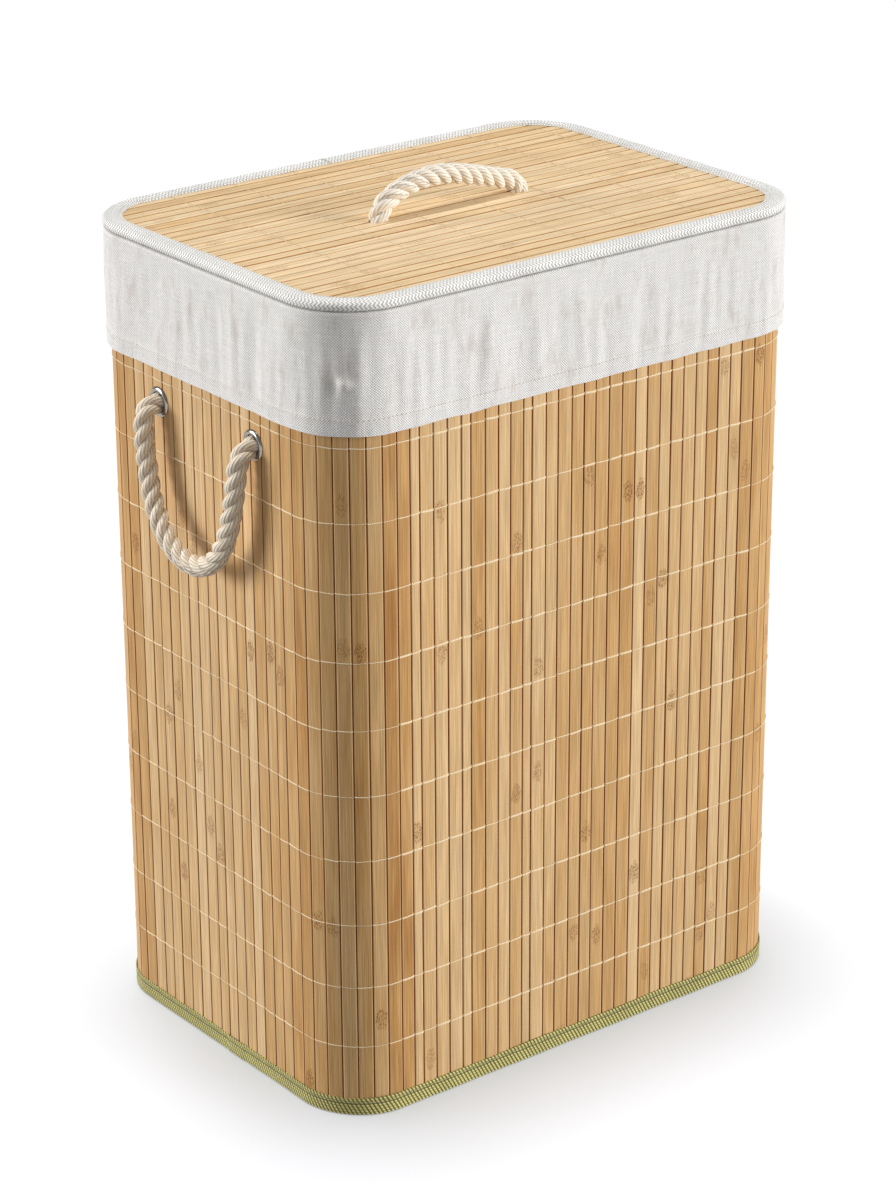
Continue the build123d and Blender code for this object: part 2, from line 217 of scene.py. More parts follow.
def soften_edges(piece, degrees):
    """Shade smooth, with hard edges only where faces meet at more than the angle."""
    with opened(piece.data) as work:
        for face in work.faces:
            face.smooth = True
        for edge in work.edges:
            flat = len(edge.link_faces) == 2 and edge.calc_face_angle(0) < math.radians(degrees)
            edge.smooth = flat


def dress(piece, material, body, replaced=()):
    """Give a piece its material and body, and hide the CAD nodes it stands for."""
    piece.data.materials.clear()
    piece.data.materials.append(material)
    soften_edges(piece, 40)
    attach(piece, body)
    if replaced:
        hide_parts(*replaced)


def smooth_noise(rng, count, step):
    """A smooth random curve about zero: count values whose turns are step samples apart."""
    knots = rng.uniform(-1, 1, int(count / step) + 4)
    at = np.arange(count) / step
    low = at.astype(int)
    t = at - low
    t = t * t * (3 - 2 * t)
    return knots[low] * (1 - t) + knots[low + 1] * t


def seated(low, high, value):
    """0 below low, 1 above high, and smooth between them."""
    share = min(max((value - low) / (high - low), 0.0), 1.0)
    return share * share * (3 - 2 * share)


def lengths_along(line):
    """How far along a line each of its points lies."""
    steps = np.linalg.norm(np.diff(np.array(line), axis=0), axis=1)
    return np.concatenate([[0], np.cumsum(steps)])


# ------------ the outline

STRAIGHT_X = HALF_X - CORNER
STRAIGHT_Y = HALF_Y - CORNER
QUARTER = math.pi / 2 * CORNER
# Length, signs of a straight's start and end or of an arc's corner, and the arc's start angle. They
# run from the back of the left side to its front, and on round the hamper.
STRETCHES = [
    (2 * STRAIGHT_Y, (-1, 1), (-1, -1), None),
    (QUARTER, (-1, -1), None, 180),
    (2 * STRAIGHT_X, (-1, -1), (1, -1), None),
    (QUARTER, (1, -1), None, 270),
    (2 * STRAIGHT_Y, (1, -1), (1, 1), None),
    (QUARTER, (1, 1), None, 0),
    (2 * STRAIGHT_X, (1, 1), (-1, 1), None),
    (QUARTER, (-1, 1), None, 90),
]
PERIMETER = sum(stretch[0] for stretch in STRETCHES)
MIDDLE_BACK = PERIMETER - QUARTER - STRAIGHT_X
CORNER_MIDDLE = 2 * STRAIGHT_Y + QUARTER / 2  # of the corner nearest to the camera


def outline(distance, out=0.0):
    """The point and the normal at a distance round the body, moved out."""
    distance = distance % PERIMETER
    for length, first, last, angle in STRETCHES:
        if distance <= length + 1e-12:
            break
        distance -= length
    share = min(distance / length, 1.0)
    if last is None:
        turn = math.radians(angle + 90 * share)
        normal = (math.cos(turn), math.sin(turn))
        x, y = ((CORNER + out) * part for part in normal)
        return (first[0] * STRAIGHT_X + x, first[1] * STRAIGHT_Y + y), normal
    if first[1] == last[1]:
        x = (first[0] * (1 - share) + last[0] * share) * STRAIGHT_X
        return (x, first[1] * (HALF_Y + out)), (0.0, float(first[1]))
    y = (first[1] * (1 - share) + last[1] * share) * STRAIGHT_Y
    return (first[0] * (HALF_X + out), y), (float(first[0]), 0.0)


RING_STEP = 1.6 * MM


def ring(name, profile, shift):
    """A closed section of (out, z) points carried round the outline, with its seam mid-back.

    shift(distance, row) gives an extra (out, z) for a point, such as a wrinkle.
    """
    columns = int(PERIMETER / RING_STEP)
    places = [column * PERIMETER / columns for column in range(columns)]
    verts = []
    for row, (out, z) in enumerate(profile):
        for place in places:
            distance = (MIDDLE_BACK + place) % PERIMETER
            more_out, more_up = shift(distance, row)
            (x, y), normal = outline(distance, out)
            verts.append((x + normal[0] * more_out, y + normal[1] * more_out, z + more_up))
    faces = grid_faces(len(profile), columns, close_rows=True, close_columns=True)
    piece = make_object(name, verts, faces)
    across = np.repeat(lengths_along(profile), columns)
    add_attributes(piece, {"cloth_u": places * len(profile), "cloth_v": across})
    return piece


# ------------ ropes

YARNS = 9  # in a strand
LAY_CENTRE = 0.272  # from the rope's middle to a strand's, in rope diameters
LAY_STRAND = 0.256  # a strand's radius, in rope diameters


def nurbs_points(name, points):
    """Points along the smooth NURBS line whose control points are a rope's route."""
    data = bpy.data.curves.new(name + "_line", "CURVE")
    data.dimensions = "3D"
    data.resolution_u = 24
    spline = data.splines.new("NURBS")
    spline.points.add(len(points) - 1)
    for place, point in zip(spline.points, points):
        place.co = (*point, 1)
    spline.order_u = 3
    spline.use_endpoint_u = True
    holder = bpy.data.objects.new(name + "_line", data)
    mesh = bpy.data.meshes.new_from_object(holder)
    line = np.array([vertex.co for vertex in mesh.vertices])
    bpy.data.objects.remove(holder)
    return line


def carried_sides(line):
    """Two side directions at each point of a line, carried along without twist."""
    tangents = np.gradient(line, axis=0)
    tangents /= np.linalg.norm(tangents, axis=1)[:, None]
    side = np.cross(tangents[0], (0.31, 0.77, 0.55))  # any direction that the ropes don't take
    sides = []
    for tangent in tangents:
        side = side - tangent * (side @ tangent)
        side /= np.linalg.norm(side)
        sides.append(side)
    return np.array(sides), np.cross(tangents, sides)


def strand(shape, line, radius, yarn_turn, around, rng):
    """One strand: a tube with yarn ridges that run round it the other way from the rope's lay."""
    first, second = carried_sides(line)
    lengths = lengths_along(line)
    angles = np.arange(around) * FULL_TURN / around
    lump = 1 + 0.02 * smooth_noise(rng, len(line), 9)
    verts = []
    turn = []
    for place, a, b, length, size in zip(line, first, second, lengths, lump):
        turned = angles + yarn_turn * length
        reach = radius * size * (0.94 + 0.07 * np.abs(np.sin(turned * YARNS / 2)))
        across, up = np.outer(reach * np.cos(angles), a), np.outer(reach * np.sin(angles), b)
        verts.extend(place + across + up)
        turn.extend(turned)
    shape.add(
        verts,
        tube_faces(len(line), around),
        strand_turn=turn,
        strand_along=np.repeat(lengths, around),
        strand_tone=np.full(len(verts), rng.uniform()),
    )


def laid_rope(name, points, diameter, lay_length, seed):
    """Three strands laid right-handed round the route's smooth line; also that line's points."""
    rng = np.random.default_rng(seed)
    line = nurbs_points(name, points)
    lengths = lengths_along(line)
    at = np.linspace(0, lengths[-1], int(lengths[-1] / (0.7 * MM)))
    line = np.stack([np.interp(at, lengths, line[:, axis]) for axis in range(3)], 1)
    first, second = carried_sides(line)
    shape = Shape("strand_turn", "strand_along", "strand_tone")
    yarn_turn = FULL_TURN / (lay_length * 1.3)
    for index in range(3):
        angle = FULL_TURN * (index / 3 + at / lay_length)
        offset = first * np.cos(angle)[:, None] + second * np.sin(angle)[:, None]
        centres = line + offset * LAY_CENTRE * diameter
        strand(shape, centres, LAY_STRAND * diameter, yarn_turn, 30, rng)
    return shape.build(name), line, at[-1]


def finish_rope(rope, material, bodies, blend, nodes, slot, **cord):
    """Give a laid rope its material and fixed placement, and hide the CAD nodes that it stands for.
    """
    piece, line, length = rope
    piece.data.materials.append(material)
    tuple(blend[0])
    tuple(blend[1])
    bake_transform(piece)
    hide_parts(*nodes)
    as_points(line[::4])


def make_side_ropes(material):
    for name, side in SIDES:
        points = [(side * (HALF_X + out), y, z) for out, y, z in SIDE_ROPE_ROUTE]
        reach = side * HALF_X
        finish_rope(
            laid_rope(f"{name}_handle_rope", points, SIDE_ROPE_DIAMETER, 36 * MM, 3 + side),
            material,
            ("root", f"{name}_handle"),
            ((reach + side * 0.002, 0, EYELET_Z), (reach + side * 0.0135, 0, EYELET_Z - 0.014)),
            (f"rope_loop_{name}", f"rope_ends_{name}"),
            "jute_rope",
            exit=(reach, EYELET_Y, EYELET_Z),
            diameter=SIDE_ROPE_DIAMETER,
            stiffness="limp",
            lay="hanging",
        )


def make_lid_rope(material):
    points = [(x, LID_ROPE_Y, z) for x, z in LID_ROPE_ROUTE]
    finish_rope(
        laid_rope("lid_handle_rope", points, LID_ROPE_DIAMETER * LID_ROPE_SWELL, 30 * MM, 11),
        material,
        ("lid", "lid_handle"),
        ((0, LID_ROPE_Y, LID_TOP - 0.002), (0, LID_ROPE_Y, LID_TOP + 0.008)),
        ("lid_rope_arch", "lid_rope_ends"),
        "cotton_rope",
        exit=(LID_ROPE_ROUTE[0][0], LID_ROPE_Y, LID_TOP),
        diameter=LID_ROPE_DIAMETER,
        stiffness="medium",
        lay="loose",
    )


# ------------ node graphs

def colour(*channels):
    """A colour given as it looks on a screen, 0 to 255, as the shader wants it."""
    shares = [channel / 255 for channel in channels]
    return (*(c / 12.92 if c <= 0.04045 else ((c + 0.055) / 1.055) ** 2.4 for c in shares), 1.0)


class Value:
    """A number or colour in a material. Sums and products of values make its math nodes."""

    def __init__(self, graph, socket):
        self.graph = graph
        self.socket = socket

    def __add__(self, other):
        return self.graph.math("ADD", self, other)

    def __sub__(self, other):
        return self.graph.math("SUBTRACT", self, other)

    def __mul__(self, other):
        return self.graph.math("MULTIPLY", self, other)

    def __abs__(self):
        return self.graph.math("ABSOLUTE", self)


class Graph:
    """A material whose nodes are made with short calls. Lengths in it are millimetres."""

    def __init__(self, name, **sockets):
        self.material = bpy.data.materials.new(name)
        self.material.use_nodes = True
        self.tree = self.material.node_tree
        self.shader = self.tree.nodes["Principled BSDF"]
        self.normal = None
        for socket, value in sockets.items():
            self.feed(self.shader.inputs[socket.replace("_", " ")], value)

    def feed(self, socket, value):
        """Join a value to a socket, or set the socket to a number or a (red, green, blue)."""
        if isinstance(value, Value):
            self.tree.links.new(value.socket, socket)
        else:
            socket.default_value = colour(*value) if isinstance(value, tuple) else value

    def node(self, kind, inputs, output=0, **settings):
        """A new node with its inputs fed, as the value of one of its outputs."""
        node = self.tree.nodes.new("ShaderNode" + kind)
        for name, setting in settings.items():
            setattr(node, name, setting)
        for key, value in inputs.items():
            self.feed(node.inputs[key], value)
        return Value(self, node.outputs[output])

    def math(self, operation, *values):
        return self.node("Math", dict(enumerate(values)), operation=operation)

    def number(self, name, factor):
        """A point attribute, times a factor."""
        return self.node("Attribute", {}, "Fac", attribute_name=name) * factor

    def cloth(self):
        """How far along and across its cloth a point lies."""
        return self.number("cloth_u", 1000), self.number("cloth_v", 1000)

    def vector(self, x, y, z):
        return self.node("CombineXYZ", {0: x, 1: y, 2: z})

    def place(self):
        """The point's place on the piece."""
        metres = self.node("TexCoord", {}, "Object")
        return self.node("VectorMath", {0: metres, "Scale": 1000}, operation="SCALE")

    def split(self, vector):
        """A vector's x, y and z."""
        first = self.node("SeparateXYZ", {0: vector})
        return [Value(self, socket) for socket in first.socket.node.outputs]

    def noise(self, vector, size, detail=3.0, rough=0.55):
        """Noise from 0 to 1 whose blobs are about size across, in the vector's units."""
        inputs = {"Vector": vector, "Scale": 1 / size, "Detail": detail, "Roughness": rough}
        return self.node("TexNoise", inputs, "Fac")

    def cells(self, vector, size):
        """Distance to the nearest of scattered points, about size apart."""
        return self.node("TexVoronoi", {"Vector": vector, "Scale": 1 / size}, "Distance")

    def step(self, value, low, high, first=0.0, last=1.0):
        """A smooth change from first to last as value goes from low to high."""
        inputs = dict(enumerate((value, low, high, first, last)))
        return self.node("MapRange", inputs, "Result", interpolation_type="SMOOTHSTEP")

    def ramp(self, value, stops):
        shade = self.node("ValToRGB", {0: value}, "Color")
        elements = shade.socket.node.color_ramp.elements
        while len(elements) < len(stops):
            elements.new(0.5)
        for element, (position, tint) in zip(elements, stops):
            element.position = position
            element.color = colour(*tint)
        return shade

    def mix(self, share, first, second, blend="MIX"):
        inputs = {0: share, 6: first, 7: second}
        return self.node("Mix", inputs, 2, data_type="RGBA", blend_type=blend)

    def shade(self, base, value, amount):
        """Lighten and darken a colour: value 0 to 1 becomes 1 - amount to 1 + amount."""
        factor = self.step(value, 0.25, 0.75, 1 - amount, 1 + amount)
        grey = self.node("CombineColor", {0: factor, 1: factor, 2: factor})
        return self.mix(1.0, base, grey, "MULTIPLY")

    def wave(self, value, pitch):
        """0 to 1 to 0 with each pitch."""
        return self.math("SINE", value * (FULL_TURN / pitch)) * 0.5 + 0.5

    def bump(self, height, depth):
        """Relief of the given depth, on top of what is there."""
        inputs = {"Strength": 1.0, "Distance": depth * MM, "Height": height}
        if self.normal:
            inputs["Normal"] = self.normal
        self.normal = self.node("Bump", inputs, "Normal")

    def finish(self, base, roughness):
        self.feed(self.shader.inputs["Base Color"], base)
        self.feed(self.shader.inputs["Roughness"], roughness)
        if self.normal:
            self.feed(self.shader.inputs["Normal"], self.normal)
        return self.material


# ------------ materials

KNUCKLE_TALL = 8.5
KNUCKLE_WIDE = 4.8


def bamboo(name, palette, edge_at, gloss, roughness, knot):
    """Split bamboo: long fibre streaks, a tone for each slat, speckled knuckles, pale edges that are
    partly wear and partly painted highlight.

    A vector's small factors along a slat stretch its noise into streaks. edge_at is where the
    painted shade in its crevices begins, as a share of its half width, and knot how strong its
    knuckles are.
    """
    pale, middle, warm, dark, mark, crevice_shade = palette
    g = Graph(name, Specular_IOR_Level=gloss)
    across = g.number("slat_across", 1000)
    along = g.number("slat_along", 1000)
    seed = g.number("slat_seed", 100)
    edge = abs(g.number("slat_edge", 1.0))
    bent = across + g.noise(g.vector(across * 0.2, along * 0.03, seed), 1.0) * 1.4

    streak = g.noise(g.vector(bent * 0.75, along * 0.009, seed), 1.0, 5.0, 0.75)
    fibre = g.noise(g.vector(bent * 1.7, along * 0.02, seed), 1.0, 3.0, 0.6)
    cloud = g.noise(g.vector(across * 0.10, along * 0.010, seed), 1.0, 2.0)
    tone = (cloud - 0.5) * 0.8 + g.number("slat_tone", 1.0)
    base = g.ramp(tone, [(0.0, pale), (0.4, middle), (0.75, warm), (1.0, dark)])
    base = g.shade(base, streak, 0.20)
    base = g.shade(base, fibre, 0.22)
    base = g.mix(g.step(streak, 0.57, 0.70) * 0.30, base, mark)

    gaps = [abs(along - g.number(f"slat_knuckle_{which}", 1000)) for which in "ab"]
    tall = g.math("MINIMUM", *gaps) * (1 / KNUCKLE_TALL)
    wide = across * (1 / KNUCKLE_WIDE)
    ragged = g.noise(g.vector(across, along * 0.5, seed), 3.0)
    oval = (ragged - 0.5) * 2.4 + (tall * tall + wide * wide)
    vigour = g.math("FRACT", seed * 7.31) * 0.5 + 0.5
    patch = g.step(oval, 0.55, 1.15, 1.0, 0.0) * vigour
    dots = g.cells(g.vector(across, along * 0.42, seed), 0.85)
    flecks = g.step(dots, 0.30, 0.50, 1.0, 0.0) * patch
    base = g.mix(patch * (0.32 * knot), base, dark)
    base = g.mix(flecks * (0.90 * knot), base, mark)

    # Painted shade: the slat's sides in the grooves are darkened to the painted groove shade colour.
    base = g.mix(g.step(edge, edge_at, 0.995) * 0.90, base, crevice_shade)
    # A pale band just inside each edge: partly worn fibre, partly a painted highlight beside each
    # groove.
    rub = g.step(edge, 0.82, 0.89) * g.step(edge, 0.91, 0.96, 1.0, 0.0)
    base = g.mix(rub * 0.60, base, pale)

    g.bump(streak, 0.12)
    g.bump(fibre, 0.06)
    g.bump(flecks, -0.10)
    return g.finish(base, g.step(fibre, 0.2, 0.8, roughness - 0.09, roughness + 0.09))


def sewing_thread(name, light, dark):
    """Twisted cotton thread: slanting plies with lighter crowns."""
    g = Graph(name, Sheen_Weight=0.3, Sheen_Roughness=0.5)
    turn = g.number("thread_turn", 1 / FULL_TURN)
    ply = g.wave(g.number("thread_along", 1000) * 0.8 + turn, 1.0)
    fuzz = g.noise(g.place(), 0.5, 4.0)
    base = g.shade(g.mix(ply, dark, light), fuzz, 0.12)
    g.bump(ply, 0.15)
    g.bump(fuzz, 0.08)
    return g.finish(base, 0.8)


def twill(name, light, dark, pitch, row):
    """Herringbone tape: slanting ribs whose slant turns over with each row."""
    g = Graph(name, Sheen_Weight=0.25, Sheen_Roughness=0.45)
    along, across = g.cloth()
    place = g.place()
    slant = g.math("PINGPONG", across + g.noise(place, 9.0, 2.0) * 0.6, row)
    rib = g.wave(along + slant, pitch)
    yarn = g.wave(slant * 2.0 - along, pitch * 0.5)
    slub = g.noise(g.vector(along * 0.25, across, 0.0), 0.7, 3.0)
    weave = yarn * 0.30 + rib * 0.70
    base = g.ramp(weave, [(0.12, dark), (0.66, light)])
    base = g.shade(base, slub, 0.08)
    base = g.shade(base, g.noise(place, 28.0, 3.0), 0.07)
    g.bump(weave, 0.22)
    g.bump(slub, 0.10)
    return g.finish(base, g.step(weave, 0.0, 1.0, 0.88, 0.72))


WEBBING_YARN = 3.0
WEBBING_ROW = 2.2
WEBBING_LEAN = 0.55
WEBBING_FOLD = 9.4  # height of the crease where the tape turns under


def webbing(name, light, dark):
    """Coarse webbing: short thick yarns side by side in rows, each row set half a yarn on."""
    g = Graph(name, Sheen_Weight=0.25, Sheen_Roughness=0.45)
    along, across = g.cloth()
    place = g.place()
    row = across + g.noise(place, 7.0, 2.0) * 0.7
    yarn = g.wave(row * WEBBING_LEAN + along, WEBBING_YARN)
    between = g.wave(row, WEBBING_ROW)
    weave = g.step(yarn, 0.05, 0.75) * g.step(between, 0.0, 0.5, 0.45, 1.0)
    slub = g.noise(g.vector(along * 0.3, across, 0.0), 0.6, 3.0)
    base = g.shade(g.mix(weave, dark, light), slub, 0.12)
    base = g.shade(base, g.noise(place, 22.0, 3.0), 0.08)
    crease = abs(g.split(place)[2] - WEBBING_FOLD)
    # Painted shade: the cloth is darkened along the fold's crease, as well as bumped there.
    base = g.mix(g.step(crease, 0.15, 0.55, 0.75, 0.0), base, dark)
    g.bump(g.step(crease, 0.0, 0.8), 0.5)
    g.bump(weave, 0.40)
    g.bump(slub, 0.15)
    return g.finish(base, 0.8)


def linen(name, light, dark, stain, pitch):
    """Plain weave linen with slubs both ways and faint stains."""
    g = Graph(name, Sheen_Weight=0.2, Sheen_Roughness=0.5)
    along, across = g.cloth()
    place = g.place()
    wobble = g.noise(place, 14.0, 2.0) * 1.5
    warp = g.wave(along + wobble, pitch)
    weft = g.wave(across + wobble, pitch)
    weave = warp * weft + (warp - 1.0) * (weft - 1.0)
    slub_up = g.noise(g.vector(along * 1.6, across * 0.05, 0.0), 1.0, 3.0)
    slub_round = g.noise(g.vector(along * 0.05, across * 1.6, 5.0), 1.0, 3.0)
    base = g.mix(g.step(weave, 0.0, 0.8), dark, light)
    base = g.shade(base, slub_up, 0.075)
    base = g.shade(base, slub_round, 0.075)
    base = g.shade(base, g.noise(place, 1.1, 2.0), 0.06)
    blotch = g.noise(g.vector(along * 2.8, across, 3.0), 30.0, 4.0, 0.65)
    base = g.mix(g.step(blotch, 0.51, 0.72, 0.0, 0.36), base, stain)
    g.bump(weave, 0.20)
    g.bump(slub_up + slub_round, 0.18)
    g.bump(g.noise(place, 9.0, 3.0), 0.5)
    return g.finish(base, 0.85)


def plain_weave(name, light, dark, pitch, sheen=0.2):
    """A plain coarse cloth for a flat part, woven along the piece's own axes."""
    g = Graph(name, Sheen_Weight=sheen, Sheen_Roughness=0.5)
    place = g.place()
    x, y, z = g.split(place)
    weave = g.wave(x + y, pitch) * 0.5 + g.wave(z + (x - y), pitch) * 0.5
    base = g.shade(g.mix(weave, dark, light), g.noise(place, 12.0, 4.0), 0.10)
    g.bump(weave, 0.18)
    return g.finish(base, 0.88)


def rope_fibre(name, light, dark, groove, hair):
    """Laid rope: fine fibres along each strand's yarns, with painted shade between them."""
    g = Graph(name, Sheen_Weight=0.35, Sheen_Roughness=0.4)
    turn = g.number("strand_turn", 1.0)
    along = g.number("strand_along", 1000)
    tone = g.number("strand_tone", 40)
    yarn = abs(g.math("SINE", turn * (YARNS / 2)))
    fine = g.noise(g.vector(turn * 9.0, along * 0.16, tone), 1.0, 4.0, 0.65)
    coarse = g.noise(g.vector(turn * 2.0, along * 0.06, tone), 1.0, 2.0)
    base = g.shade(g.mix(g.step(fine, 0.3, 0.7), dark, light), coarse, 0.10)
    # Painted shade: the groove colour darkens the recesses between the yarns.
    base = g.mix(g.step(yarn, 0.0, 0.50, 0.75, 0.0), base, groove)
    base = g.mix(g.step(fine, 0.66, 0.80, 0.0, 0.5), base, hair)
    g.bump(yarn, 0.30)
    g.bump(fine, 0.30)
    return g.finish(base, 0.82)


def nickel(name):
    """Polished nickel with fine rub marks and a little haze."""
    g = Graph(name, Metallic=1.0)
    place = g.place()
    x, y, z = g.split(place)
    scratch = g.noise(g.vector(y * 3.0, z * 0.4, x), 1.0, 4.0)
    haze = g.noise(place, 6.0, 3.0)
    base = g.mix(haze, (176, 172, 166), (138, 133, 127))
    g.bump(scratch, 0.02)
    return g.finish(base, g.step(haze, 0.3, 0.7, 0.10, 0.20) + g.step(scratch, 0.5, 0.8, 0.0, 0.12))


def spring_steel(name):
    """Plain steel wire, stained here and there."""
    g = Graph(name, Metallic=1.0)
    place = g.place()
    stain = g.noise(place, 5.0, 4.0)
    base = g.mix(g.step(stain, 0.4, 0.7), (150, 148, 145), (112, 104, 96))
    g.bump(g.noise(place, 0.6, 3.0), 0.03)
    return g.finish(base, g.step(stain, 0.3, 0.7, 0.28, 0.45))


def hardboard(name):
    """Pressed fibre board with flecks and a fine leathery surface."""
    g = Graph(name)
    place = g.place()
    fleck = g.noise(place, 1.2, 5.0, 0.7)
    base = g.mix(g.step(fleck, 0.3, 0.7), (112, 78, 50), (152, 112, 76))
    base = g.shade(base, g.noise(place, 30.0, 3.0), 0.08)
    g.bump(fleck, 0.10)
    return g.finish(base, g.step(fleck, 0.2, 0.8, 0.62, 0.78))


def hook_and_loop(name, light, dark):
    """A tape's dense field of small loops and hooks."""
    g = Graph(name, Sheen_Weight=0.4, Sheen_Roughness=0.5)
    place = g.place()
    loops = g.cells(place, 0.9)
    base = g.mix(g.step(loops, 0.1, 0.5), light, dark)
    base = g.shade(base, g.noise(place, 4.0, 3.0), 0.10)
    g.bump(loops, -0.5)
    return g.finish(base, 0.9)


FLOOR_GLOW = 0.34


def floor_material():
    """A plain pale sweep with only the faintest unevenness."""
    g = Graph("studio_floor", Emission_Color=(255, 255, 255), Emission_Strength=FLOOR_GLOW)
    cloud = g.noise(g.place(), 400.0, 2.0)
    return g.finish(g.mix(cloud, (164, 166, 170), (168, 170, 174)), 0.7)


# ------------ slats

WALL_SLAT_WIDTH = 11.2 * MM
LID_SLAT_WIDTH = 10.8 * MM
SLAT_GROOVE = 0.80 * MM
CORNER_GROOVE = 0.70 * MM
LID_GROOVE = 1.05 * MM
CORNER_SLATS = 7
CORNER_SLAT_IN = 0.15 * MM  # how far a corner's flat slats sit inside its arc
CORNER_SHADE_TONE = 0.36  # added to a corner slat's tone, as painted shade that makes corner slats darker and warmer
LID_TONE = 0.85  # times a lid slat's tone
DARK_SLATS = 0.12  # share of slats that are much darker
NARROW_SLATS = 0.10
WALL_ROWS = 34  # of points along each slat
LID_ROWS = 40
WALL_HOLE_RADIUS = 8.3 * MM
LID_HOLE_RADIUS = 6.5 * MM


class Slat:
    """One slat: where it lies across its wall, how wide it is, and how it looks."""

    def __init__(self, rng, middle, half, low, high):
        self.middle = middle
        self.half = half
        self.seed = rng.uniform(0, 1)
        self.tone = min(max(rng.normal(0.42, 0.15), 0.0), 1.0)
        if rng.uniform() < DARK_SLATS:
            self.tone = rng.uniform(0.65, 0.85)
        length = high - low
        self.knuckles = (
            rng.uniform(low - 0.3 * length, high),
            rng.uniform(low, low + 3 * length),
        )
        self.lift = rng.uniform(-0.18, 0.06) * MM
        self.tilt = rng.normal(0, 0.010)
        self.bow = rng.uniform(0.05, 0.16) * MM
        self.round = rng.uniform(0.45, 0.75) * MM
        self.wobble = rng.integers(1 << 30)


def cut_widths(rng, length, usual, groove):
    """Slats of uneven widths that fill a length: a list of (middle, half width)."""
    widths = []
    while sum(widths) < length - usual / 2:
        narrow = rng.uniform() < NARROW_SLATS
        widths.append(usual * (rng.uniform(0.58, 0.75) if narrow else rng.uniform(0.93, 1.12)))
    widths = np.array(widths) * length / sum(widths)
    ends = np.cumsum(widths)
    return [(end - width / 2, width / 2 - groove / 2) for end, width in zip(ends, widths)]


def slat_section(slat, thickness):
    """The slat's section as (across, out) points: square behind, worn round in front."""
    half, r = slat.half, slat.round
    right = [
        (half - 0.1 * r, -thickness),
        (half, -thickness + 0.1 * r),
        (half, -1.1 * r),
        (half - 0.12 * r, -0.55 * r),
        (half - 0.45 * r, -0.16 * r),
        (half - r, -0.03 * r),
        (half - 1.8 * r, 0.0),
    ]
    return right + [(-across, out) for across, out in reversed(right)]


def add_slat(shape, slat, thickness, low, high, rows, place):
    """A slat from low to high. place(across, out, along) turns its own measures into a point."""
    rng = np.random.default_rng(slat.wobble)
    section = slat_section(slat, thickness)
    sway = smooth_noise(rng, rows, 9) * 0.06 * MM
    swell = smooth_noise(rng, rows, 7) * 0.05 * MM
    verts = []
    for height, side, wide in zip(np.linspace(low, high, rows), sway, swell):
        nearest = min(abs(height - knuckle) for knuckle in slat.knuckles)
        knuckle = 0.16 * MM * math.exp(-((nearest / 0.006) ** 2))
        for across, out in section:
            edge = across / slat.half
            bulge = slat.lift + slat.tilt * across + knuckle * (1 - edge * edge)
            face = out > -0.6 * thickness
            out += bulge - slat.bow * edge * edge if face else 0
            verts.append(place(across + side + wide * edge, out, height))
    shape.add(verts, tube_faces(rows, len(section)))


def cut_holes(piece, centres, axis, radius):
    """Cut round holes through a piece, each a many-sided cutter along axis."""
    for centre in centres:
        cutter_mesh = bpy.data.meshes.new("cutter")
        turn = Vector((0, 0, 1)).rotation_difference(Vector(axis)).to_matrix().to_4x4()
        with opened(cutter_mesh) as work:
            bmesh.ops.create_cone(
                work,
                cap_ends=True,
                segments=48,
                radius1=radius,
                radius2=radius,
                depth=0.03,
                matrix=Matrix.Translation(Vector(centre)) @ turn,
            )
        cutter = put("cutter", cutter_mesh)
        modifier = piece.modifiers.new("hole", "BOOLEAN")
        modifier.operation = "DIFFERENCE"
        modifier.solver = "EXACT"
        modifier.object = cutter
        bpy.context.view_layer.update()
        graph = bpy.context.evaluated_depsgraph_get()
        mesh = bpy.data.meshes.new_from_object(piece.evaluated_get(graph))
        piece.modifiers.clear()
        old = piece.data
        piece.data = mesh
        bpy.data.meshes.remove(old)
        bpy.data.objects.remove(cutter)


def run_of_slats(name, slats, thickness, ends, rows, lay, measure, holes=(), axis=None, bore=0):
    """Slats side by side, with round holes where a rope goes through.

    lay(slat) gives the function that add_slat calls, and measure(points) gives (across, along) for
    all points of the run.
    """
    shape = Shape()
    for slat in slats:
        add_slat(shape, slat, thickness, *ends, rows, lay(slat))
    piece = shape.build(name)
    cut_holes(piece, holes, axis, bore)
    paint_slats(piece, slats, measure)
    return piece


def paint_slats(piece, slats, measure):
    """Give each point its slat's numbers."""
    points = np.empty(len(piece.data.vertices) * 3)
    piece.data.vertices.foreach_get("co", points)
    across, along = measure(points.reshape(-1, 3))
    middles = np.array([slat.middle for slat in slats])
    halves = np.array([slat.half for slat in slats])
    splits = (middles[:-1] + halves[:-1] + middles[1:] - halves[1:]) / 2
    which = np.searchsorted(splits, across)
    local = across - middles[which]
    numbers = np.array([(slat.seed, slat.tone, *slat.knuckles) for slat in slats])[which]
    values = {"slat_across": local, "slat_edge": local / halves[which], "slat_along": along}
    names = ("slat_seed", "slat_tone", "slat_knuckle_a", "slat_knuckle_b")
    add_attributes(piece, {**values, **dict(zip(names, numbers.T))})


def upright(origin, direction, normal):
    """The function that places a wall slat's own across, out and along."""
    def place(across, out, along):
        point = origin + direction * across + normal * out
        return (point.x, point.y, along)

    return place


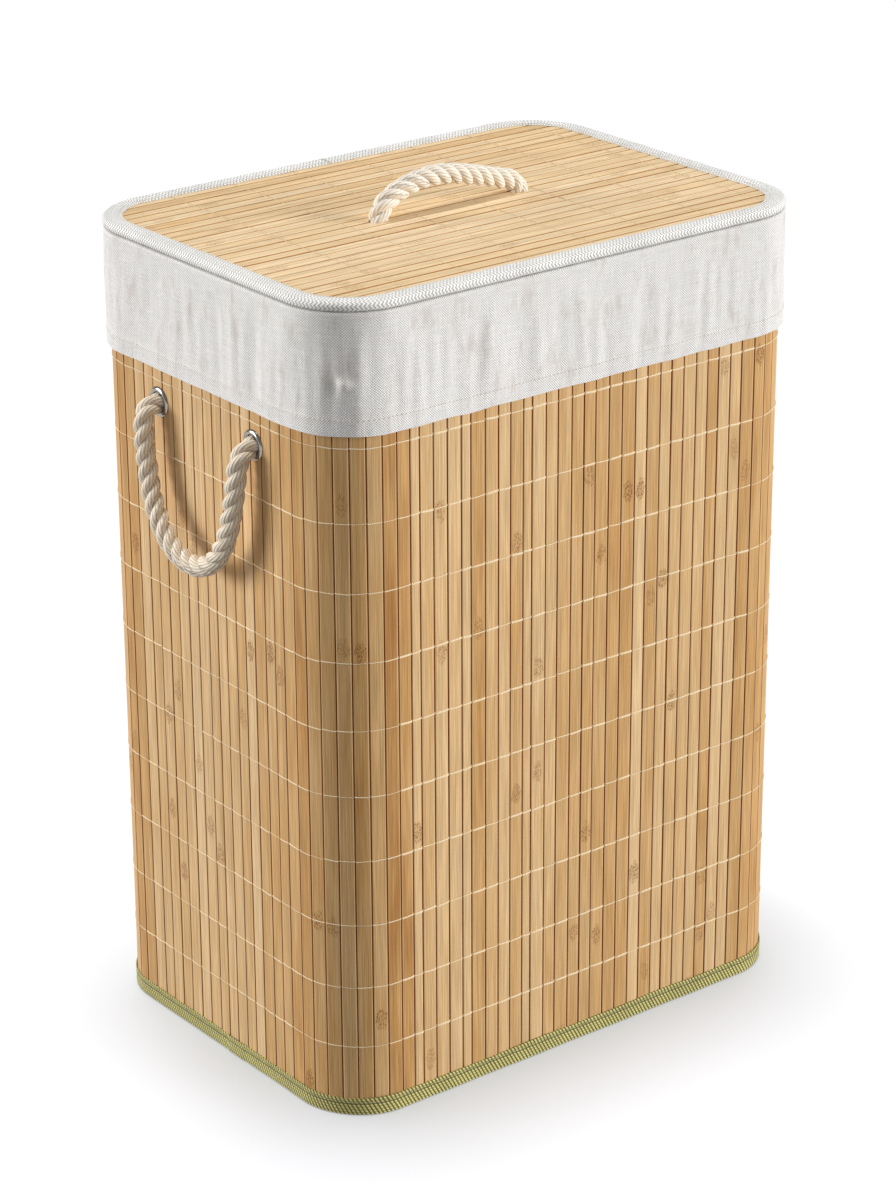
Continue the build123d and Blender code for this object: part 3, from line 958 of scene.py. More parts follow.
def make_walls(material):
    """All eight runs of wall slats, and a list of where every slat lies round the outline.

    Each in the list is (middle, half width, whether on a corner, thread size).
    """
    rng = np.random.default_rng(41)
    layout = []
    begin = 0.0
    stretches = zip(("left", "front", "right", "back"), STRETCHES[::2], STRETCHES[1::2])
    for side, (length, first, last, _), (_, corner, _, angle) in stretches:
        start = Vector((first[0] * STRAIGHT_X, first[1] * STRAIGHT_Y, 0))
        direction = Vector((last[0] - first[0], last[1] - first[1], 0)) / 2
        normal = Vector((direction.y, -direction.x, 0))
        start += normal * CORNER
        widths = cut_widths(rng, length, WALL_SLAT_WIDTH, SLAT_GROOVE)
        slats = [Slat(rng, middle, half, *WALL_ENDS) for middle, half in widths]
        holes = []
        if side in ("left", "right"):
            holes = [(start.x, end * EYELET_Y, EYELET_Z) for end in (-1, 1)]
        piece = run_of_slats(
            f"slats_{side}",
            slats,
            SLAT_THICKNESS,
            WALL_ENDS,
            WALL_ROWS,
            lambda slat: upright(start + direction * slat.middle, direction, normal),
            lambda points: ((points - start) @ direction, points[:, 2]),
            holes,
            normal,
            WALL_HOLE_RADIUS,
        )
        dress(piece, material, "root", [f"wall_slats_{side}"])
        size = 1.0 if direction.x else SIDE_THREAD
        layout.extend((begin + slat.middle, slat.half, False, size) for slat in slats)
        begin += length

        centre = Vector((corner[0] * STRAIGHT_X, corner[1] * STRAIGHT_Y, 0))
        pitch = QUARTER / CORNER_SLATS
        half = pitch / 2 - CORNER_GROOVE / 2
        middles = [(index + 0.5) * pitch for index in range(CORNER_SLATS)]
        slats = [Slat(rng, middle, half, *WALL_ENDS) for middle in middles]
        # Painted shade: corner slats are made darker and warmer than the straight walls' slats.
        for slat in slats:
            slat.tone = min(slat.tone * 0.6 + CORNER_SHADE_TONE, 0.9)

        def lay(slat):
            turn = math.radians(angle) + slat.middle / CORNER
            out = Vector((math.cos(turn), math.sin(turn), 0))
            across = Vector((-out.y, out.x, 0))
            return upright(centre + out * (CORNER - CORNER_SLAT_IN), across, out)

        def measure(points):
            turns = np.arctan2(points[:, 1] - centre.y, points[:, 0] - centre.x)
            return ((turns - math.radians(angle)) % FULL_TURN) * CORNER, points[:, 2]

        name = f"{'front' if corner[1] < 0 else 'back'}_{'left' if corner[0] < 0 else 'right'}"
        piece = run_of_slats(
            f"slats_corner_{name}",
            slats,
            SLAT_THICKNESS - CORNER_SLAT_IN,
            WALL_ENDS,
            WALL_ROWS,
            lay,
            measure,
        )
        dress(piece, material, "root", [f"corner_slats_{name}"])
        layout.extend((begin + slat.middle, slat.half, True, CORNER_THREAD) for slat in slats)
        begin += QUARTER
    return layout


# ------------ thread

THREAD_HEIGHTS = [0.055, 0.101, 0.150, 0.199, 0.248, 0.297, 0.347, 0.397, 0.447, 0.500, 0.550]
THREAD_RADIUS = 0.84 * MM
CORNER_THREAD = 0.55  # sizes of the thread there, as shares of the front's
SIDE_THREAD = 0.68
THREAD_OVER_SLAT = (  # (share of the slat's half width, millimetres out)
    *((-1.08, -1.30), (-1.00, -0.85), (-0.93, 0.02), (-0.50, 0.14)),
    *((0.0, 0.16), (0.50, 0.14), (0.93, 0.02), (1.00, -0.85)),
)
LID_THREAD_X = [-0.1393 + 0.0533 * index for index in range(7)]
LID_THREAD_RADIUS = 0.28 * MM
LID_THREAD_IN = 11.5 * MM
LID_THREAD_OVER_SLAT = (
    *((-1.04, -0.8), (-0.93, -0.25), (-0.7, -0.02)),
    *((0.0, 0.02), (0.7, -0.02), (0.93, -0.25)),
)


def tube(shape, points, radius, around=6, closed=True, flat=1.0):
    """A thin tube through points, with its length and turn kept as attributes.

    flat is how deep it is for its height, so 1 is round.
    """
    points = np.array(points)
    count = len(points)
    if closed:
        tangents = np.roll(points, -1, 0) - np.roll(points, 1, 0)
    else:
        tangents = np.gradient(points, axis=0)
    tangents /= np.linalg.norm(tangents, axis=1)[:, None]
    up = np.array((0.0, 0.0, 1.0)) if abs(tangents[0][2]) < 0.9 else np.array((1.0, 0.0, 0.0))
    first = up - tangents * (tangents @ up)[:, None]
    first /= np.linalg.norm(first, axis=1)[:, None]
    second = np.cross(tangents, first)
    angles = np.arange(around) * FULL_TURN / around
    ring_a = first[:, None, :] * np.cos(angles)[None, :, None]
    ring_b = second[:, None, :] * np.sin(angles)[None, :, None] * flat
    sizes = np.broadcast_to(np.asarray(radius), (count,))
    verts = (points[:, None, :] + (ring_a + ring_b) * sizes[:, None, None]).reshape(-1, 3)
    faces = grid_faces(count, around, True, True) if closed else tube_faces(count, around)
    lengths = np.repeat(lengths_along(points), around)
    shape.add(verts, faces, thread_along=lengths, thread_turn=np.tile(angles, count))


def make_wall_threads(material, layout):
    """Eleven rows of sewing: over each slat, and down into each groove."""
    rng = np.random.default_rng(57)
    shape = Shape("thread_along", "thread_turn")
    for height in THREAD_HEIGHTS:
        points = []
        sizes = []
        level = rng.uniform(-0.2, 0.2) * MM
        for middle, half, on_corner, size in layout:
            level = 0.7 * level + rng.uniform(-0.25, 0.25) * MM
            slope = rng.uniform(-0.35, 0.25) * MM
            shown = rng.choice((1.0, 0.8, 0.5), p=(0.45, 0.3, 0.25))
            for share, out in THREAD_OVER_SLAT:
                facet = 0.0
                if on_corner:
                    facet = (CORNER - CORNER_SLAT_IN) / math.cos(share * half / CORNER) - CORNER
                (x, y), _ = outline(middle + share * half, out * MM + facet)
                points.append((x, y, height + level + slope * share))
                sizes.append(THREAD_RADIUS * size * shown)
        tube(shape, points, np.array(sizes), 8, flat=0.5)
    dress(shape.build("wall_thread_rows"), material, "root", ["wall_threads"])


def make_lid_threads(material, layout):
    """Fine rows of sewing across the lid's slats."""
    rng = np.random.default_rng(58)
    shape = Shape("thread_along", "thread_turn")
    for x in LID_THREAD_X:
        reach = HALF_Y - LID_THREAD_IN
        beyond = abs(x) - STRAIGHT_X
        if beyond > 0:
            reach = STRAIGHT_Y + math.sqrt((CORNER - LID_THREAD_IN) ** 2 - beyond * beyond)
        points = []
        level = 0.0
        for middle, half in layout:
            if abs(middle) > reach:
                continue
            level = 0.7 * level + rng.uniform(-0.15, 0.15) * MM
            for share, rise in LID_THREAD_OVER_SLAT:
                points.append((x + level, middle + share * half, LID_TOP + rise * MM))
        tube(shape, points, LID_THREAD_RADIUS, closed=False, flat=0.6)
    dress(shape.build("lid_thread_rows"), material, "lid", ["lid_threads"])


def make_stitches(name, spots, radius, material, body):
    """A row of short stitches. Each spot is (start, end, normal): it dips in at both ends."""
    shape = Shape("thread_along", "thread_turn")
    for start, end, normal in spots:
        start, end, normal = Vector(start), Vector(end), Vector(normal)
        points = [
            start.lerp(end, share) + normal * radius * rise
            for share, rise in ((0, -1.2), (0.12, 0.1), (0.5, 0.45), (0.88, 0.1), (1, -1.2))
        ]
        tube(shape, points, radius, closed=False)
    dress(shape.build(name), material, body)


def round_the_outline(pitch, length, place):
    """Spots for stitches round the outline.

    place(distance, at) gives a (point, normal). The stitch starts at distance, and the point lies
    at at.
    """
    count = int(PERIMETER / pitch)
    spots = []
    for index in range(count):
        distance = index * PERIMETER / count
        start, _ = place(distance, distance)
        spots.append((start, *place(distance, distance + length)))
    return spots


# ------------ cloth rings

FOOT_SEAM = STRAIGHT_Y + 0.006  # where the foot tape's ends lap, on the left side
FOOT_STITCH_Z = 0.0107
CUFF_FOOT, CUFF_TOP = (corner.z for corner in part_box("liner_cuff"))
LINER_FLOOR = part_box("liner_bottom")[0].z
LINER_IN = 7.2 * MM
CUFF_FACE = 3.0 * MM
CUFF_HEM = 11.5 * MM
HEM_THICKNESS = 1.45  # times the cloth's
LINER_BULGE_FOOT = EYELET_Z - 0.034
KNOT_PUSH = 20.5 * MM


def thicken(line, thickness):
    """A closed (out, z) section round a centre line, with a thickness at each of its points."""
    line = np.array(line, float)
    along = np.gradient(line, axis=0)
    along /= np.linalg.norm(along, axis=1)[:, None]
    side = np.stack([along[:, 1], -along[:, 0]], 1)
    half = np.broadcast_to(np.asarray(thickness, float), (len(line),))[:, None] / 2
    return np.concatenate([line + side * half, (line - side * half)[::-1]])


def arc_points(out, z, radius, start, end, count):
    """Points (out, z) on an arc, angles in degrees from the outward direction."""
    angles = np.radians(np.linspace(start, end, count))
    return [(out + radius * math.cos(a), z + radius * math.sin(a)) for a in angles]


class Ripple:
    """A smooth function round the outline, from a few seeded waves that close on themselves."""

    def __init__(self, seed, shortest, longest, count, lean=0.0):
        rng = np.random.default_rng(seed)
        turns = rng.integers(int(PERIMETER / longest), int(PERIMETER / shortest) + 1, count)
        self.waves = [
            (FULL_TURN * turn / PERIMETER, rng.uniform(0, FULL_TURN), rng.normal(0, lean))
            for turn in turns
        ]
        self.scale = 1 / math.sqrt(count)

    def __call__(self, distance, height=0.0):
        return self.scale * sum(
            math.cos(rate * distance + start + lean * height) for rate, start, lean in self.waves
        )


CUFF_WAVES = Ripple(21, 0.030, 0.11, 9, 14.0)
CUFF_FINE = Ripple(22, 0.011, 0.028, 12, 30.0)
# The crease at the near corner: place round, height, millimetres out, half width, half height
CUFF_PINCHES = [
    (CORNER_MIDDLE + 0.0040, 0.5460, 2.9, 0.0044, 0.0036),
    (CORNER_MIDDLE - 0.0030, 0.5440, -1.7, 0.0028, 0.0055),
    (CORNER_MIDDLE - 0.0300, 0.5330, 0.9, 0.0020, 0.0070),
]


def make_foot_tape(material, thread):
    """The olive webbing that binds the wall's foot, with its lapped end on the left side."""
    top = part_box("foot_binding_tape")[1].z
    thickness = 0.75 * MM
    face = 0.8 * MM
    outer = face - thickness / 2
    inner = -3.0 * MM
    bend = 1.4 * MM
    low = thickness / 2 + bend
    line = [(inner, top - 0.3 * MM), (inner, 0.009), (inner, 0.004)]
    line += arc_points(inner + bend, low, bend, 180, 270, 5)
    line += arc_points(outer - bend, low, bend, 270, 360, 5)
    line += [(outer, z) for z in (0.004, 0.0065, 0.009, 0.0095, 0.0115, top - 0.4 * MM)]
    section = thicken(line, thickness)
    wave = Ripple(5, 0.05, 0.22, 7)
    rise = Ripple(6, 0.06, 0.3, 5)

    def shift(distance, row):
        out, height = section[row]
        more = lap = 0.0
        if out > -0.5 * MM:
            more = 0.22 * MM * wave(distance)
            past = distance - FOOT_SEAM
            if 0 < past < 0.024:
                lap = 0.65 * MM * seated(0.0, 0.0008, past) * (1 - seated(0.016, 0.024, past))
        lift = 0.35 * MM * rise(distance) if height > 0.011 else 0.0
        crease = -0.22 * MM if 0.0088 < height < 0.0098 and out > 0 else 0.0
        return (max(more, -0.15 * MM) + lap + crease, lift)

    piece = ring("foot_tape", section, shift)
    dress(piece, material, "root", ["foot_binding_tape"])

    def place(distance, at):
        out = face + 0.22 * MM * max(wave(distance), -0.6) + 0.02 * MM
        return (*outline(at, out)[0], FOOT_STITCH_Z), (*outline(distance)[1], 0)

    spots = round_the_outline(3.6 * MM, 2.3 * MM, place)
    make_stitches("foot_tape_stitches", spots, 0.22 * MM, thread, "root")


def cuff_swell(distance, height):
    """How far the cuff's cloth stands out from its mean face, in metres."""
    down = (CUFF_TOP - height) / (CUFF_TOP - CUFF_FOOT)
    free = seated(0.06, 0.4, down) * (1 - 0.55 * seated(0.75, 1.0, down))
    soft = 0.62 * CUFF_WAVES(distance, height) + 0.30 * CUFF_FINE(distance, height)
    sag = -0.35 * math.sin(math.pi * min(down, 1.0))
    fold = 0.0
    for spot, middle, deep, wide, tall in CUFF_PINCHES:
        away = (distance - spot) / wide
        rise = (height - middle) / tall
        fold += deep * math.exp(-(away * away + rise * rise))
    return max(free * soft + sag + fold, -1.7) * MM


def liner_bulge(x, y, z):
    """How far the liner's wall is pushed in by the rope knots behind it, from 0 to 1."""
    away = min(math.hypot(y - end * EYELET_Y, z - EYELET_Z) for end in (-1, 1))
    return 1 - seated(0.012, 0.030, away) if abs(x) > STRAIGHT_X else 0.0


def make_liner(material, thread):
    """The liner bag: one cloth from its seam at the floor, up the wall and out over the rim."""
    thick = 1.0 * MM
    outer = CUFF_FACE - thick / 2
    inner = -LINER_IN - thick / 2
    rim = CUFF_TOP + 0.5 * MM - thick / 2
    bend = 1.4 * MM
    low = rim - bend
    line = [(outer, z) for z in np.linspace(CUFF_FOOT + 0.5 * MM, low, 46)]
    line += arc_points(outer - bend, low, bend, 0, 90, 7)[1:]
    line += [(out, rim) for out in np.linspace(outer - bend, inner + bend, 5)[1:-1]]
    line += arc_points(inner + bend, low, bend, 90, 180, 7)
    line += [(inner, z) for z in np.linspace(low, LINER_BULGE_FOOT, 56)[1:]]
    line += [(inner, z) for z in np.linspace(LINER_BULGE_FOOT, LINER_FLOOR + 1.5 * MM, 30)[1:]]
    line = np.array(line)
    hem = (line[:, 0] > 0) & (line[:, 1] < CUFF_FOOT + CUFF_HEM)
    section = thicken(line, np.where(hem, thick * HEM_THICKNESS, thick))
    count = len(line)
    inside_wave = Ripple(31, 0.05, 0.24, 9, 7.0)

    def shift(distance, row):
        out, height = line[row if row < count else 2 * count - 1 - row]
        if out > 0:
            drop = CUFF_WAVES(distance + 0.03) * seated(CUFF_FOOT + 0.03, CUFF_FOOT, height)
            return (cuff_swell(distance, height), 0.25 * MM * drop)
        (x, y), _ = outline(distance, inner)
        free = seated(0.0, 0.04, CUFF_TOP - height) * seated(0.0, 0.05, height - LINER_FLOOR)
        sway = free * (1.1 * inside_wave(distance, height) - 1.1) * MM
        return (sway - KNOT_PUSH * liner_bulge(x, y, height), 0.0)

    piece = ring("liner_bag", section, shift)
    dress(piece, material, "root", ["liner_cuff", "liner_wall"])
    flat = (round(PERIMETER, 3), round(lengths_along(line)[-1], 3))

    def place(_, at):
        height = CUFF_FOOT + CUFF_HEM
        (x, y), _ = outline(at, CUFF_FACE + 0.25 * MM + cuff_swell(at, height))
        normal = outline(at)[1]
        return (x, y, height + 0.15 * MM * CUFF_WAVES(at + 0.03)), (*normal, 0)

    spots = round_the_outline(3.3 * MM, 2.1 * MM, place)
    make_stitches("cuff_hem_stitches", spots, 0.34 * MM, thread, "root")


def make_liner_floor(material):
    """The liner's bottom, a soft flat panel with a turned seam round its edge."""
    reach = LINER_IN + 0.6 * MM
    thickness = 0.8 * MM
    top = LINER_FLOOR + thickness
    columns = 220
    rings = 34
    phases = np.random.default_rng(77).uniform(0, FULL_TURN, 8)
    verts = []
    for layer in (0, 1):
        for row in range(rings):
            share = (1 - row / (rings - 1)) ** 0.8 or 0.002
            for column in range(columns):
                x, y = (part * share for part in outline(column * PERIMETER / columns, -reach)[0])
                dent = 0.5 * math.sin(40 * x + phases[0]) * math.cos(33 * y + phases[1])
                dent += 0.3 * math.sin(85 * x + 30 * y + phases[2])
                z = top + seated(0.0, 0.15, 1 - share) * (dent * 0.7 + 0.5) * MM
                z += 1.1 * MM * math.exp(-(((share - 0.985) / 0.012) ** 2))
                verts.append((x, y, z - layer * thickness))
    front = grid_faces(rings, columns, close_columns=True)
    size = rings * columns
    back = [tuple(index + size for index in reversed(quad)) for quad in front]
    edge = [(c, (c + 1) % columns, size + (c + 1) % columns, size + c) for c in range(columns)]
    middle = range(size - columns, size)
    hub = [tuple(middle), tuple(size + c for c in middle)]
    piece = make_object("liner_floor", verts, front + back + edge + hub)
    add_attributes(piece, {"cloth_u": [v[0] for v in verts], "cloth_v": [v[1] for v in verts]})
    dress(piece, material, "root", ["liner_bottom"])


# ------------ eyelets and knots

# A rolled eyelet's section, (radius, out from the slats) in millimetres: a domed flange outside, a
# barrel through the wall and a curl behind
EYELET_SECTION = [
    *((7.35, 0.30), (7.45, 0.85), (7.75, 1.25), (8.25, 1.48), (8.9, 1.50), (9.6, 1.32)),
    *((10.3, 0.98), (10.75, 0.60), (10.98, 0.25), (11.0, 0.03), (10.9, 0.02), (8.25, 0.02)),
    *((8.05, -0.3), (8.05, -2.9), (8.15, -3.30), (8.7, -3.35), (8.75, -3.75), (8.3, -3.9)),
    *((7.7, -3.8), (7.4, -3.4), (7.32, -2.6), (7.32, -0.4)),
]


def make_eyelets(material):
    around = 56
    turns = [FULL_TURN * index / around for index in range(around)]
    faces = grid_faces(len(EYELET_SECTION), around, close_rows=True, close_columns=True)
    for name, end, side in CORNER_NAMES:
        verts = []
        for radius, out in EYELET_SECTION:
            for turn in turns:
                y = end * EYELET_Y + radius * MM * math.cos(turn)
                z = EYELET_Z + radius * MM * math.sin(turn)
                verts.append((side * (HALF_X + out * MM), y, z))
        piece = make_object(f"ring_{name}", verts, faces)
        dress(piece, material, "root", [f"eyelet_{name}"])


def make_knot(name, node, axis, body, material):
    """A stopper knot in a CAD knot's box: the rope's strands wound over each other."""
    low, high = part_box(node)
    size = high - low
    radius = (size.z if axis[0] else size.x) / 2
    length = size.x if axis[0] else size.z
    rng = np.random.default_rng(sum(ord(letter) for letter in name))
    shape = Shape("strand_turn", "strand_along", "strand_tone")
    turn = Vector((0, 0, 1)).rotation_difference(Vector(axis)).to_matrix()
    thick = radius * 0.36
    for index in range(3):
        phase = FULL_TURN * index / 3
        line = []
        for t in np.linspace(0, FULL_TURN, 150):
            reach = (radius - thick) * (0.80 + 0.20 * math.cos(3 * t + phase))
            rise = (length / 2 - thick) * math.sin(1.5 * t + phase) * 0.98
            x, y = reach * math.cos(t + phase), reach * math.sin(t + phase)
            line.append((low + high) / 2 + turn @ Vector((x, y, rise)))
        strand(shape, np.array(line), thick, 180.0, 18, rng)
    dress(shape.build(name), material, body, [node])


def make_knots(side_material, lid_material):
    for name, _, side in CORNER_NAMES:
        node = f"rope_knot_{name}"
        make_knot(f"knot_{name}", node, (side, 0, 0), "root", side_material)
    for name, _ in SIDES:
        node = f"lid_knot_{name}"
        make_knot(f"knot_lid_{name}", node, (0, 0, 1), "lid", lid_material)


# ------------ lid

LID_SLAT_THICKNESS = LID_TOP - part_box("lid_slats")[0].z
LID_SLAT_IN = 6.2 * MM
LID_HOLES = [(LID_ROPE_ROUTE[end][0], LID_ROPE_Y, LID_TOP) for end in (0, -1)]


def lid_reach(y):
    """Half the length of the lid's slats at a distance y from its middle line."""
    beyond = abs(y) - STRAIGHT_Y
    if beyond <= 0:
        return HALF_X - LID_SLAT_IN
    radius = CORNER - LID_SLAT_IN
    return STRAIGHT_X + math.sqrt(max(radius * radius - beyond * beyond, 0.0))


def make_lid_slats(material):
    """The lid's slats, which run along it and end under the binding, and where each lies."""
    rng = np.random.default_rng(68)
    edge = HALF_Y - LID_SLAT_IN
    widths = cut_widths(rng, 2 * edge, LID_SLAT_WIDTH, LID_GROOVE)
    ends = (-HALF_X, HALF_X)
    slats = [Slat(rng, middle, half, *ends) for middle, half in widths]
    for slat in slats:
        slat.tone *= LID_TONE

    def lay(slat):
        def place(across, out, along):
            y = slat.middle - edge + across
            return (along / HALF_X * lid_reach(min(abs(y), edge)), y, LID_TOP + out)

        return place

    piece = run_of_slats(
        "lid_cane_slats",
        slats,
        LID_SLAT_THICKNESS,
        ends,
        LID_ROWS,
        lay,
        lambda points: (points[:, 1] + edge, points[:, 0]),
        LID_HOLES,
        (0, 0, 1),
        LID_HOLE_RADIUS,
    )
    dress(piece, material, "lid", ["lid_slats"])
    return [(slat.middle - edge, slat.half) for slat in slats]


# How the binding's inner edge drops to the slats: (millimetres from the edge, millimetres down)
BINDING_EDGE = ((0, 0.72), (0.5, 0.62), (1.2, 0.5), (2.2, 0.3), (3.6, 0.12), (5.5, 0.02))


def make_lid_binding(material, thread):
    """The herringbone tape round the lid's edge, with a row of stitches near its inner side."""
    low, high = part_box("lid_binding")
    thick = 0.85 * MM
    top = high.z - thick / 2
    foot = low.z + 0.6 * MM + thick / 2
    edge = 3.1 * MM - thick / 2
    inner = -11.4 * MM
    bend = 2.7 * MM
    line = [(inner + step * MM, top - drop * MM) for step, drop in BINDING_EDGE]
    line += [(inner + 7.5 * MM, top), (inner + 9.5 * MM, top)]
    line += arc_points(edge - bend, top - bend, bend, 90, 0, 8)
    line += arc_points(edge - bend, foot + bend, bend, 0, -90, 8)
    line += [(inner + step * MM, foot) for step in (9.5, 7.0, 4.0, 2.0, 0.0)]
    section = thicken(line, thick)[::-1]
    wave = Ripple(12, 0.02, 0.12, 10)
    creep = Ripple(13, 0.03, 0.25, 8)

    def shift(distance, row):
        across, height = section[row]
        if across > edge - bend:
            return (0.16 * MM * wave(distance), 0.06 * MM * wave(distance + 0.05))
        puff = seated(inner, inner + 4 * MM, across)
        lift = 0.10 * MM * wave(distance) * puff if height > LID_TOP - 3 * MM else 0.0
        return (0.35 * MM * creep(distance) * (1 - puff), lift)

    piece = ring("lid_edge_binding", section, shift)
    dress(piece, material, "lid", ["lid_binding"])

    def place(_, at):
        (x, y), _ = outline(at, inner + 1.9 * MM)
        return (x, y, high.z + 0.02 * MM), (0, 0, 1)

    spots = round_the_outline(3.0 * MM, 2.2 * MM, place)
    make_stitches("lid_binding_stitches", spots, 0.20 * MM, thread, "lid")


# ------------ cloth hinge

HINGE_STITCHES = 82
HINGE_STITCH_START = -0.1365
HINGE_STITCH_PITCH = 3.35 * MM
HINGE_STITCH_LENGTH = 2.1 * MM
HINGE_STITCH_RADIUS = 0.24 * MM


def cloth_strip(name, line, half_width, body, material, node):
    """A strip across the back: line is its (y, z) centre line."""
    section = thicken(line, 0.7 * MM)
    columns = np.linspace(-half_width, half_width, 120)
    verts = [(x, y, z) for y, z in section for x in columns]
    faces = grid_faces(len(section), len(columns), close_rows=True)
    ends = (0, len(columns) - 1)
    faces += [tuple(range(end, len(verts), len(columns))) for end in ends]
    piece = make_object(name, verts, faces)
    across = np.repeat(lengths_along(section), len(columns))
    add_attributes(piece, {"cloth_u": np.tile(columns, len(section)), "cloth_v": across})
    dress(piece, material, body, [node])
    flat = (round(2 * half_width, 3), round(lengths_along(line)[-1], 3))


def hinge_row(y, z):
    """Spots for a straight row of stitches across the back."""
    starts = [HINGE_STITCH_START + index * HINGE_STITCH_PITCH for index in range(HINGE_STITCHES)]
    return [((x, y, z), (x + HINGE_STITCH_LENGTH, y, z), (0, 1, 0)) for x in starts]


def make_hinge(material, thread):
    """The cloth hinge in two parts that meet in a bead along the hinge's own axis."""
    joints = {joint["name"]: joint for joint in frame["joints"]}
    y, z = joints["lid_hinge"]["pos_m"][1:]
    low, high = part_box("hinge_cloth_lower")
    mid = middle_of("hinge_cloth_lower", 1)
    lower = [(mid, low.z + step) for step in np.linspace(0, 0.030, 9)]
    lower += [(mid + 0.0004, 0.5885), (mid + 0.0014, 0.5905), (mid + 0.0030, 0.5922)]
    lower += [(y - 0.0008, z - 0.0002), (y + 0.0001, z)]
    cloth_strip("hinge_cloth_low", lower, 0.140, "root", material, "hinge_cloth_lower")
    back = middle_of("hinge_cloth_upper", 1)
    upper = [(back, 0.5994), (back, 0.5980), (back + 0.0001, 0.5966), (back + 0.0006, 0.5954)]
    upper += [(back + 0.0018, 0.5945), (back + 0.0035, 0.5941), (y - 0.0010, z + 0.0002)]
    upper += [(y + 0.0001, z)]
    cloth_strip("hinge_cloth_high", upper, 0.1385, "lid", material, "hinge_cloth_upper")

    spots = hinge_row(high.y, low.z + 0.003) + hinge_row(high.y, low.z + 0.0205)
    make_stitches("hinge_stitches_low", spots, HINGE_STITCH_RADIUS, thread, "root")
    spots = hinge_row(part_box("hinge_cloth_upper")[1].y, 0.5978)
    make_stitches("hinge_stitches_high", spots, HINGE_STITCH_RADIUS, thread, "lid")


# ------------ carried CAD nodes

def recolour(material, *names):
    """Give carried-over CAD nodes a detailed material."""
    for name in names:
        node = frame["nodes"][name]
        node.data.materials.clear()
        node.data.materials.append(material)


def dress_nodes():
    corners = [name for name, _, _ in CORNER_NAMES]
    walls = [f"wall_cloth_{side}" for side in ("front", "back", "left", "right")]
    backing = plain_weave("backing_cloth", (204, 136, 66), (160, 98, 40), 1.6, 0.0)
    recolour(backing, *walls, *[f"corner_cloth_{corner}" for corner in corners])
    tape = plain_weave("rim_tape_cloth", (178, 172, 120), (128, 122, 78), 1.4)
    recolour(tape, "rim_binding_tape")
    lining = plain_weave("lining_cloth", (226, 214, 190), (186, 172, 146), 1.3)
    recolour(lining, "lid_lining", "base_cloth")
    recolour(hardboard("hardboard"), "lid_board", "base_board")
    recolour(spring_steel("spring_steel"), "rim_wire", "foot_wire", "lid_wire")
    recolour(nickel("washer_nickel"), *[f"eyelet_washer_{corner}" for corner in corners])
    recolour(hook_and_loop("loop_tape", (222, 218, 210), (168, 160, 148)), "hinge_loop_tape")
    recolour(hook_and_loop("hook_tape", (206, 202, 194), (140, 134, 124)), "hinge_hook_tape")


# ------------ studio

# Soft, distant lights: name, direction from the hamper, strength, spread in degrees. The floor has
# a light of its own, so its brightness and shadow don't depend on the hamper's.
WORLD_STRENGTH = 0.31
LIGHTS = [
    ("left_light", (-0.70, 0.64, 0.15), 2.65, 26, "EXCLUDE"),
    ("right_light", (0.64, -0.66, 0.15), 3.15, 26, "EXCLUDE"),
    ("top_light", (-0.10, 0.16, 1.0), 1.42, 13, "EXCLUDE"),
    ("floor_light", (0.01, 0.055, 1.0), 4.6, 20, "INCLUDE"),
]
FLOOR_REACH = 9


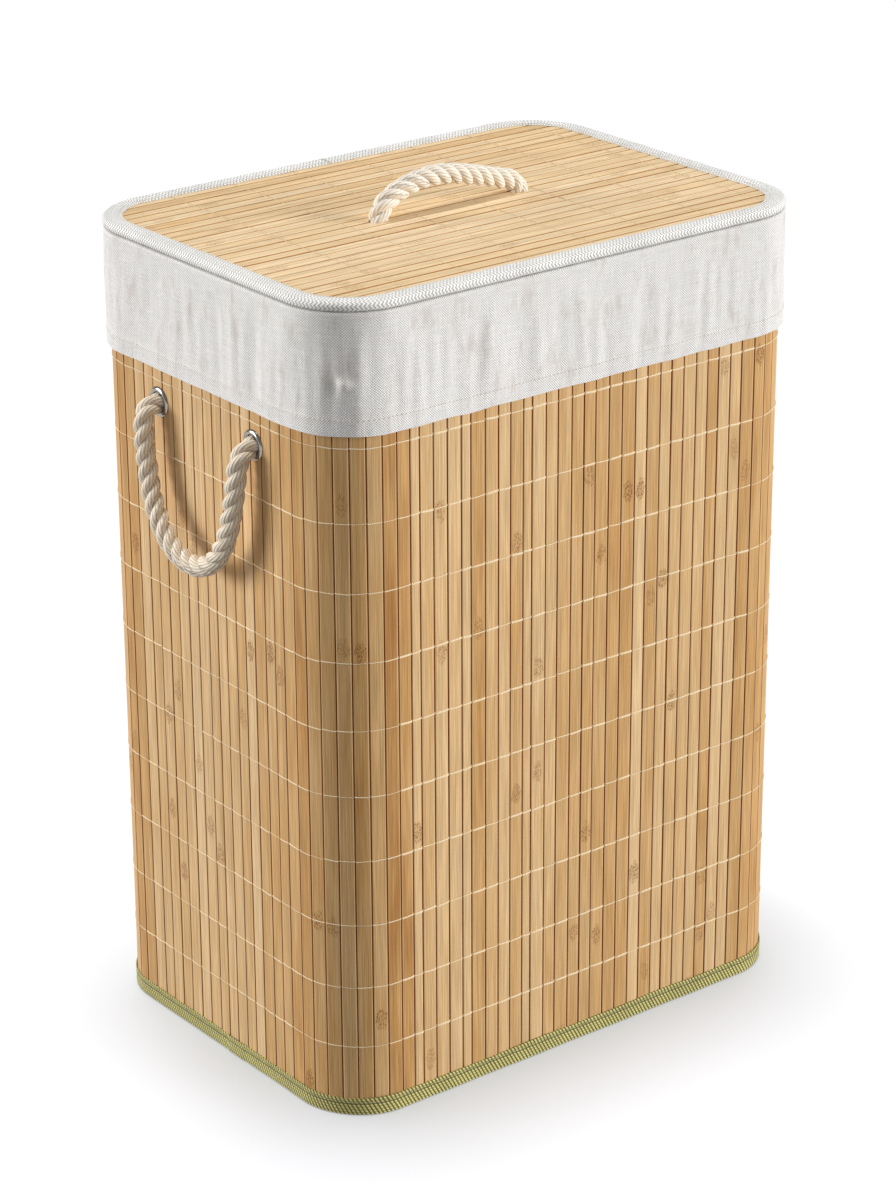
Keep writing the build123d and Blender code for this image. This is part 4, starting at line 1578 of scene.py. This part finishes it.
def make_studio():
    """A pale floor, a white surround and soft lights from both sides and above."""
    signs = ((-1, -1), (1, -1), (1, 1), (-1, 1))
    corners = [(x * FLOOR_REACH, y * FLOOR_REACH, 0) for x, y in signs]
    floor = make_object("studio_floor", corners, [(0, 1, 2, 3)])
    floor.data.materials.append(floor_material())
    floor.visible_diffuse = False
    world = bpy.data.worlds.new("surround")
    world.use_nodes = True
    background = world.node_tree.nodes["Background"]
    background.inputs["Color"].default_value = (1.0, 1.0, 1.0, 1.0)
    background.inputs["Strength"].default_value = WORLD_STRENGTH
    bpy.context.scene.world = world
    for name, direction, strength, spread, on_floor in LIGHTS:
        data = bpy.data.lights.new(name, "SUN")
        data.energy = strength
        data.angle = math.radians(spread)
        light = put(name, data)
        light.rotation_euler = Vector(direction).to_track_quat("Z", "Y").to_euler()
        receivers = bpy.data.collections.new(f"{name}_receivers")
        receivers.objects.link(floor)
        receivers.collection_objects[0].light_linking.link_state = on_floor
        light.light_linking.receiver_collection = receivers
    bpy.context.scene.view_settings.view_transform = "Standard"


# ------------ the whole hamper

# Bamboo colours from pale to dark slats, then the knuckles' flecks and the painted shade in the
# crevices
WALL_BAMBOO = (
    *((227, 194, 148), (213, 175, 124), (199, 154, 97), (173, 122, 67)),
    *((120, 70, 26), (164, 98, 38)),
)
LID_BAMBOO = (
    *((240, 215, 178), (230, 201, 158), (217, 182, 135), (196, 153, 103)),
    *((140, 92, 46), (182, 126, 66)),
)

make_camera()
jute = rope_fibre(
    "jute_rope", (252, 241, 223), (230, 215, 192), (142, 118, 90), (255, 249, 236)
)
cotton = rope_fibre(
    "cotton_rope", (254, 248, 236), (240, 229, 211), (170, 142, 114), (255, 252, 246)
)
make_side_ropes(jute)
make_lid_rope(cotton)

pale_thread = sewing_thread("pale_thread", (248, 242, 232), (206, 196, 182))
ivory = twill("ivory_twill", (255, 254, 251), (158, 154, 146), 2.8, 1.8)
flax = linen("liner_linen", (252, 250, 247), (180, 175, 172), (186, 168, 158), 1.8)

wall_layout = make_walls(bamboo("wall_bamboo", WALL_BAMBOO, 0.945, 0.15, 0.55, 1.0))
make_wall_threads(sewing_thread("cream_thread", (255, 236, 200), (240, 210, 162)), wall_layout)
make_foot_tape(
    webbing("olive_webbing", (226, 216, 134), (100, 94, 34)),
    sewing_thread("olive_thread", (196, 194, 132), (120, 118, 62)),
)
make_liner(flax, pale_thread)
make_liner_floor(flax)
make_eyelets(nickel("nickel"))
make_knots(jute, cotton)
lid_layout = make_lid_slats(bamboo("lid_bamboo", LID_BAMBOO, 0.905, 0.01, 0.82, 0.45))
make_lid_threads(sewing_thread("lid_thread", (244, 222, 184), (214, 184, 138)), lid_layout)
make_lid_binding(ivory, pale_thread)
make_hinge(ivory, pale_thread)
dress_nodes()
make_studio()
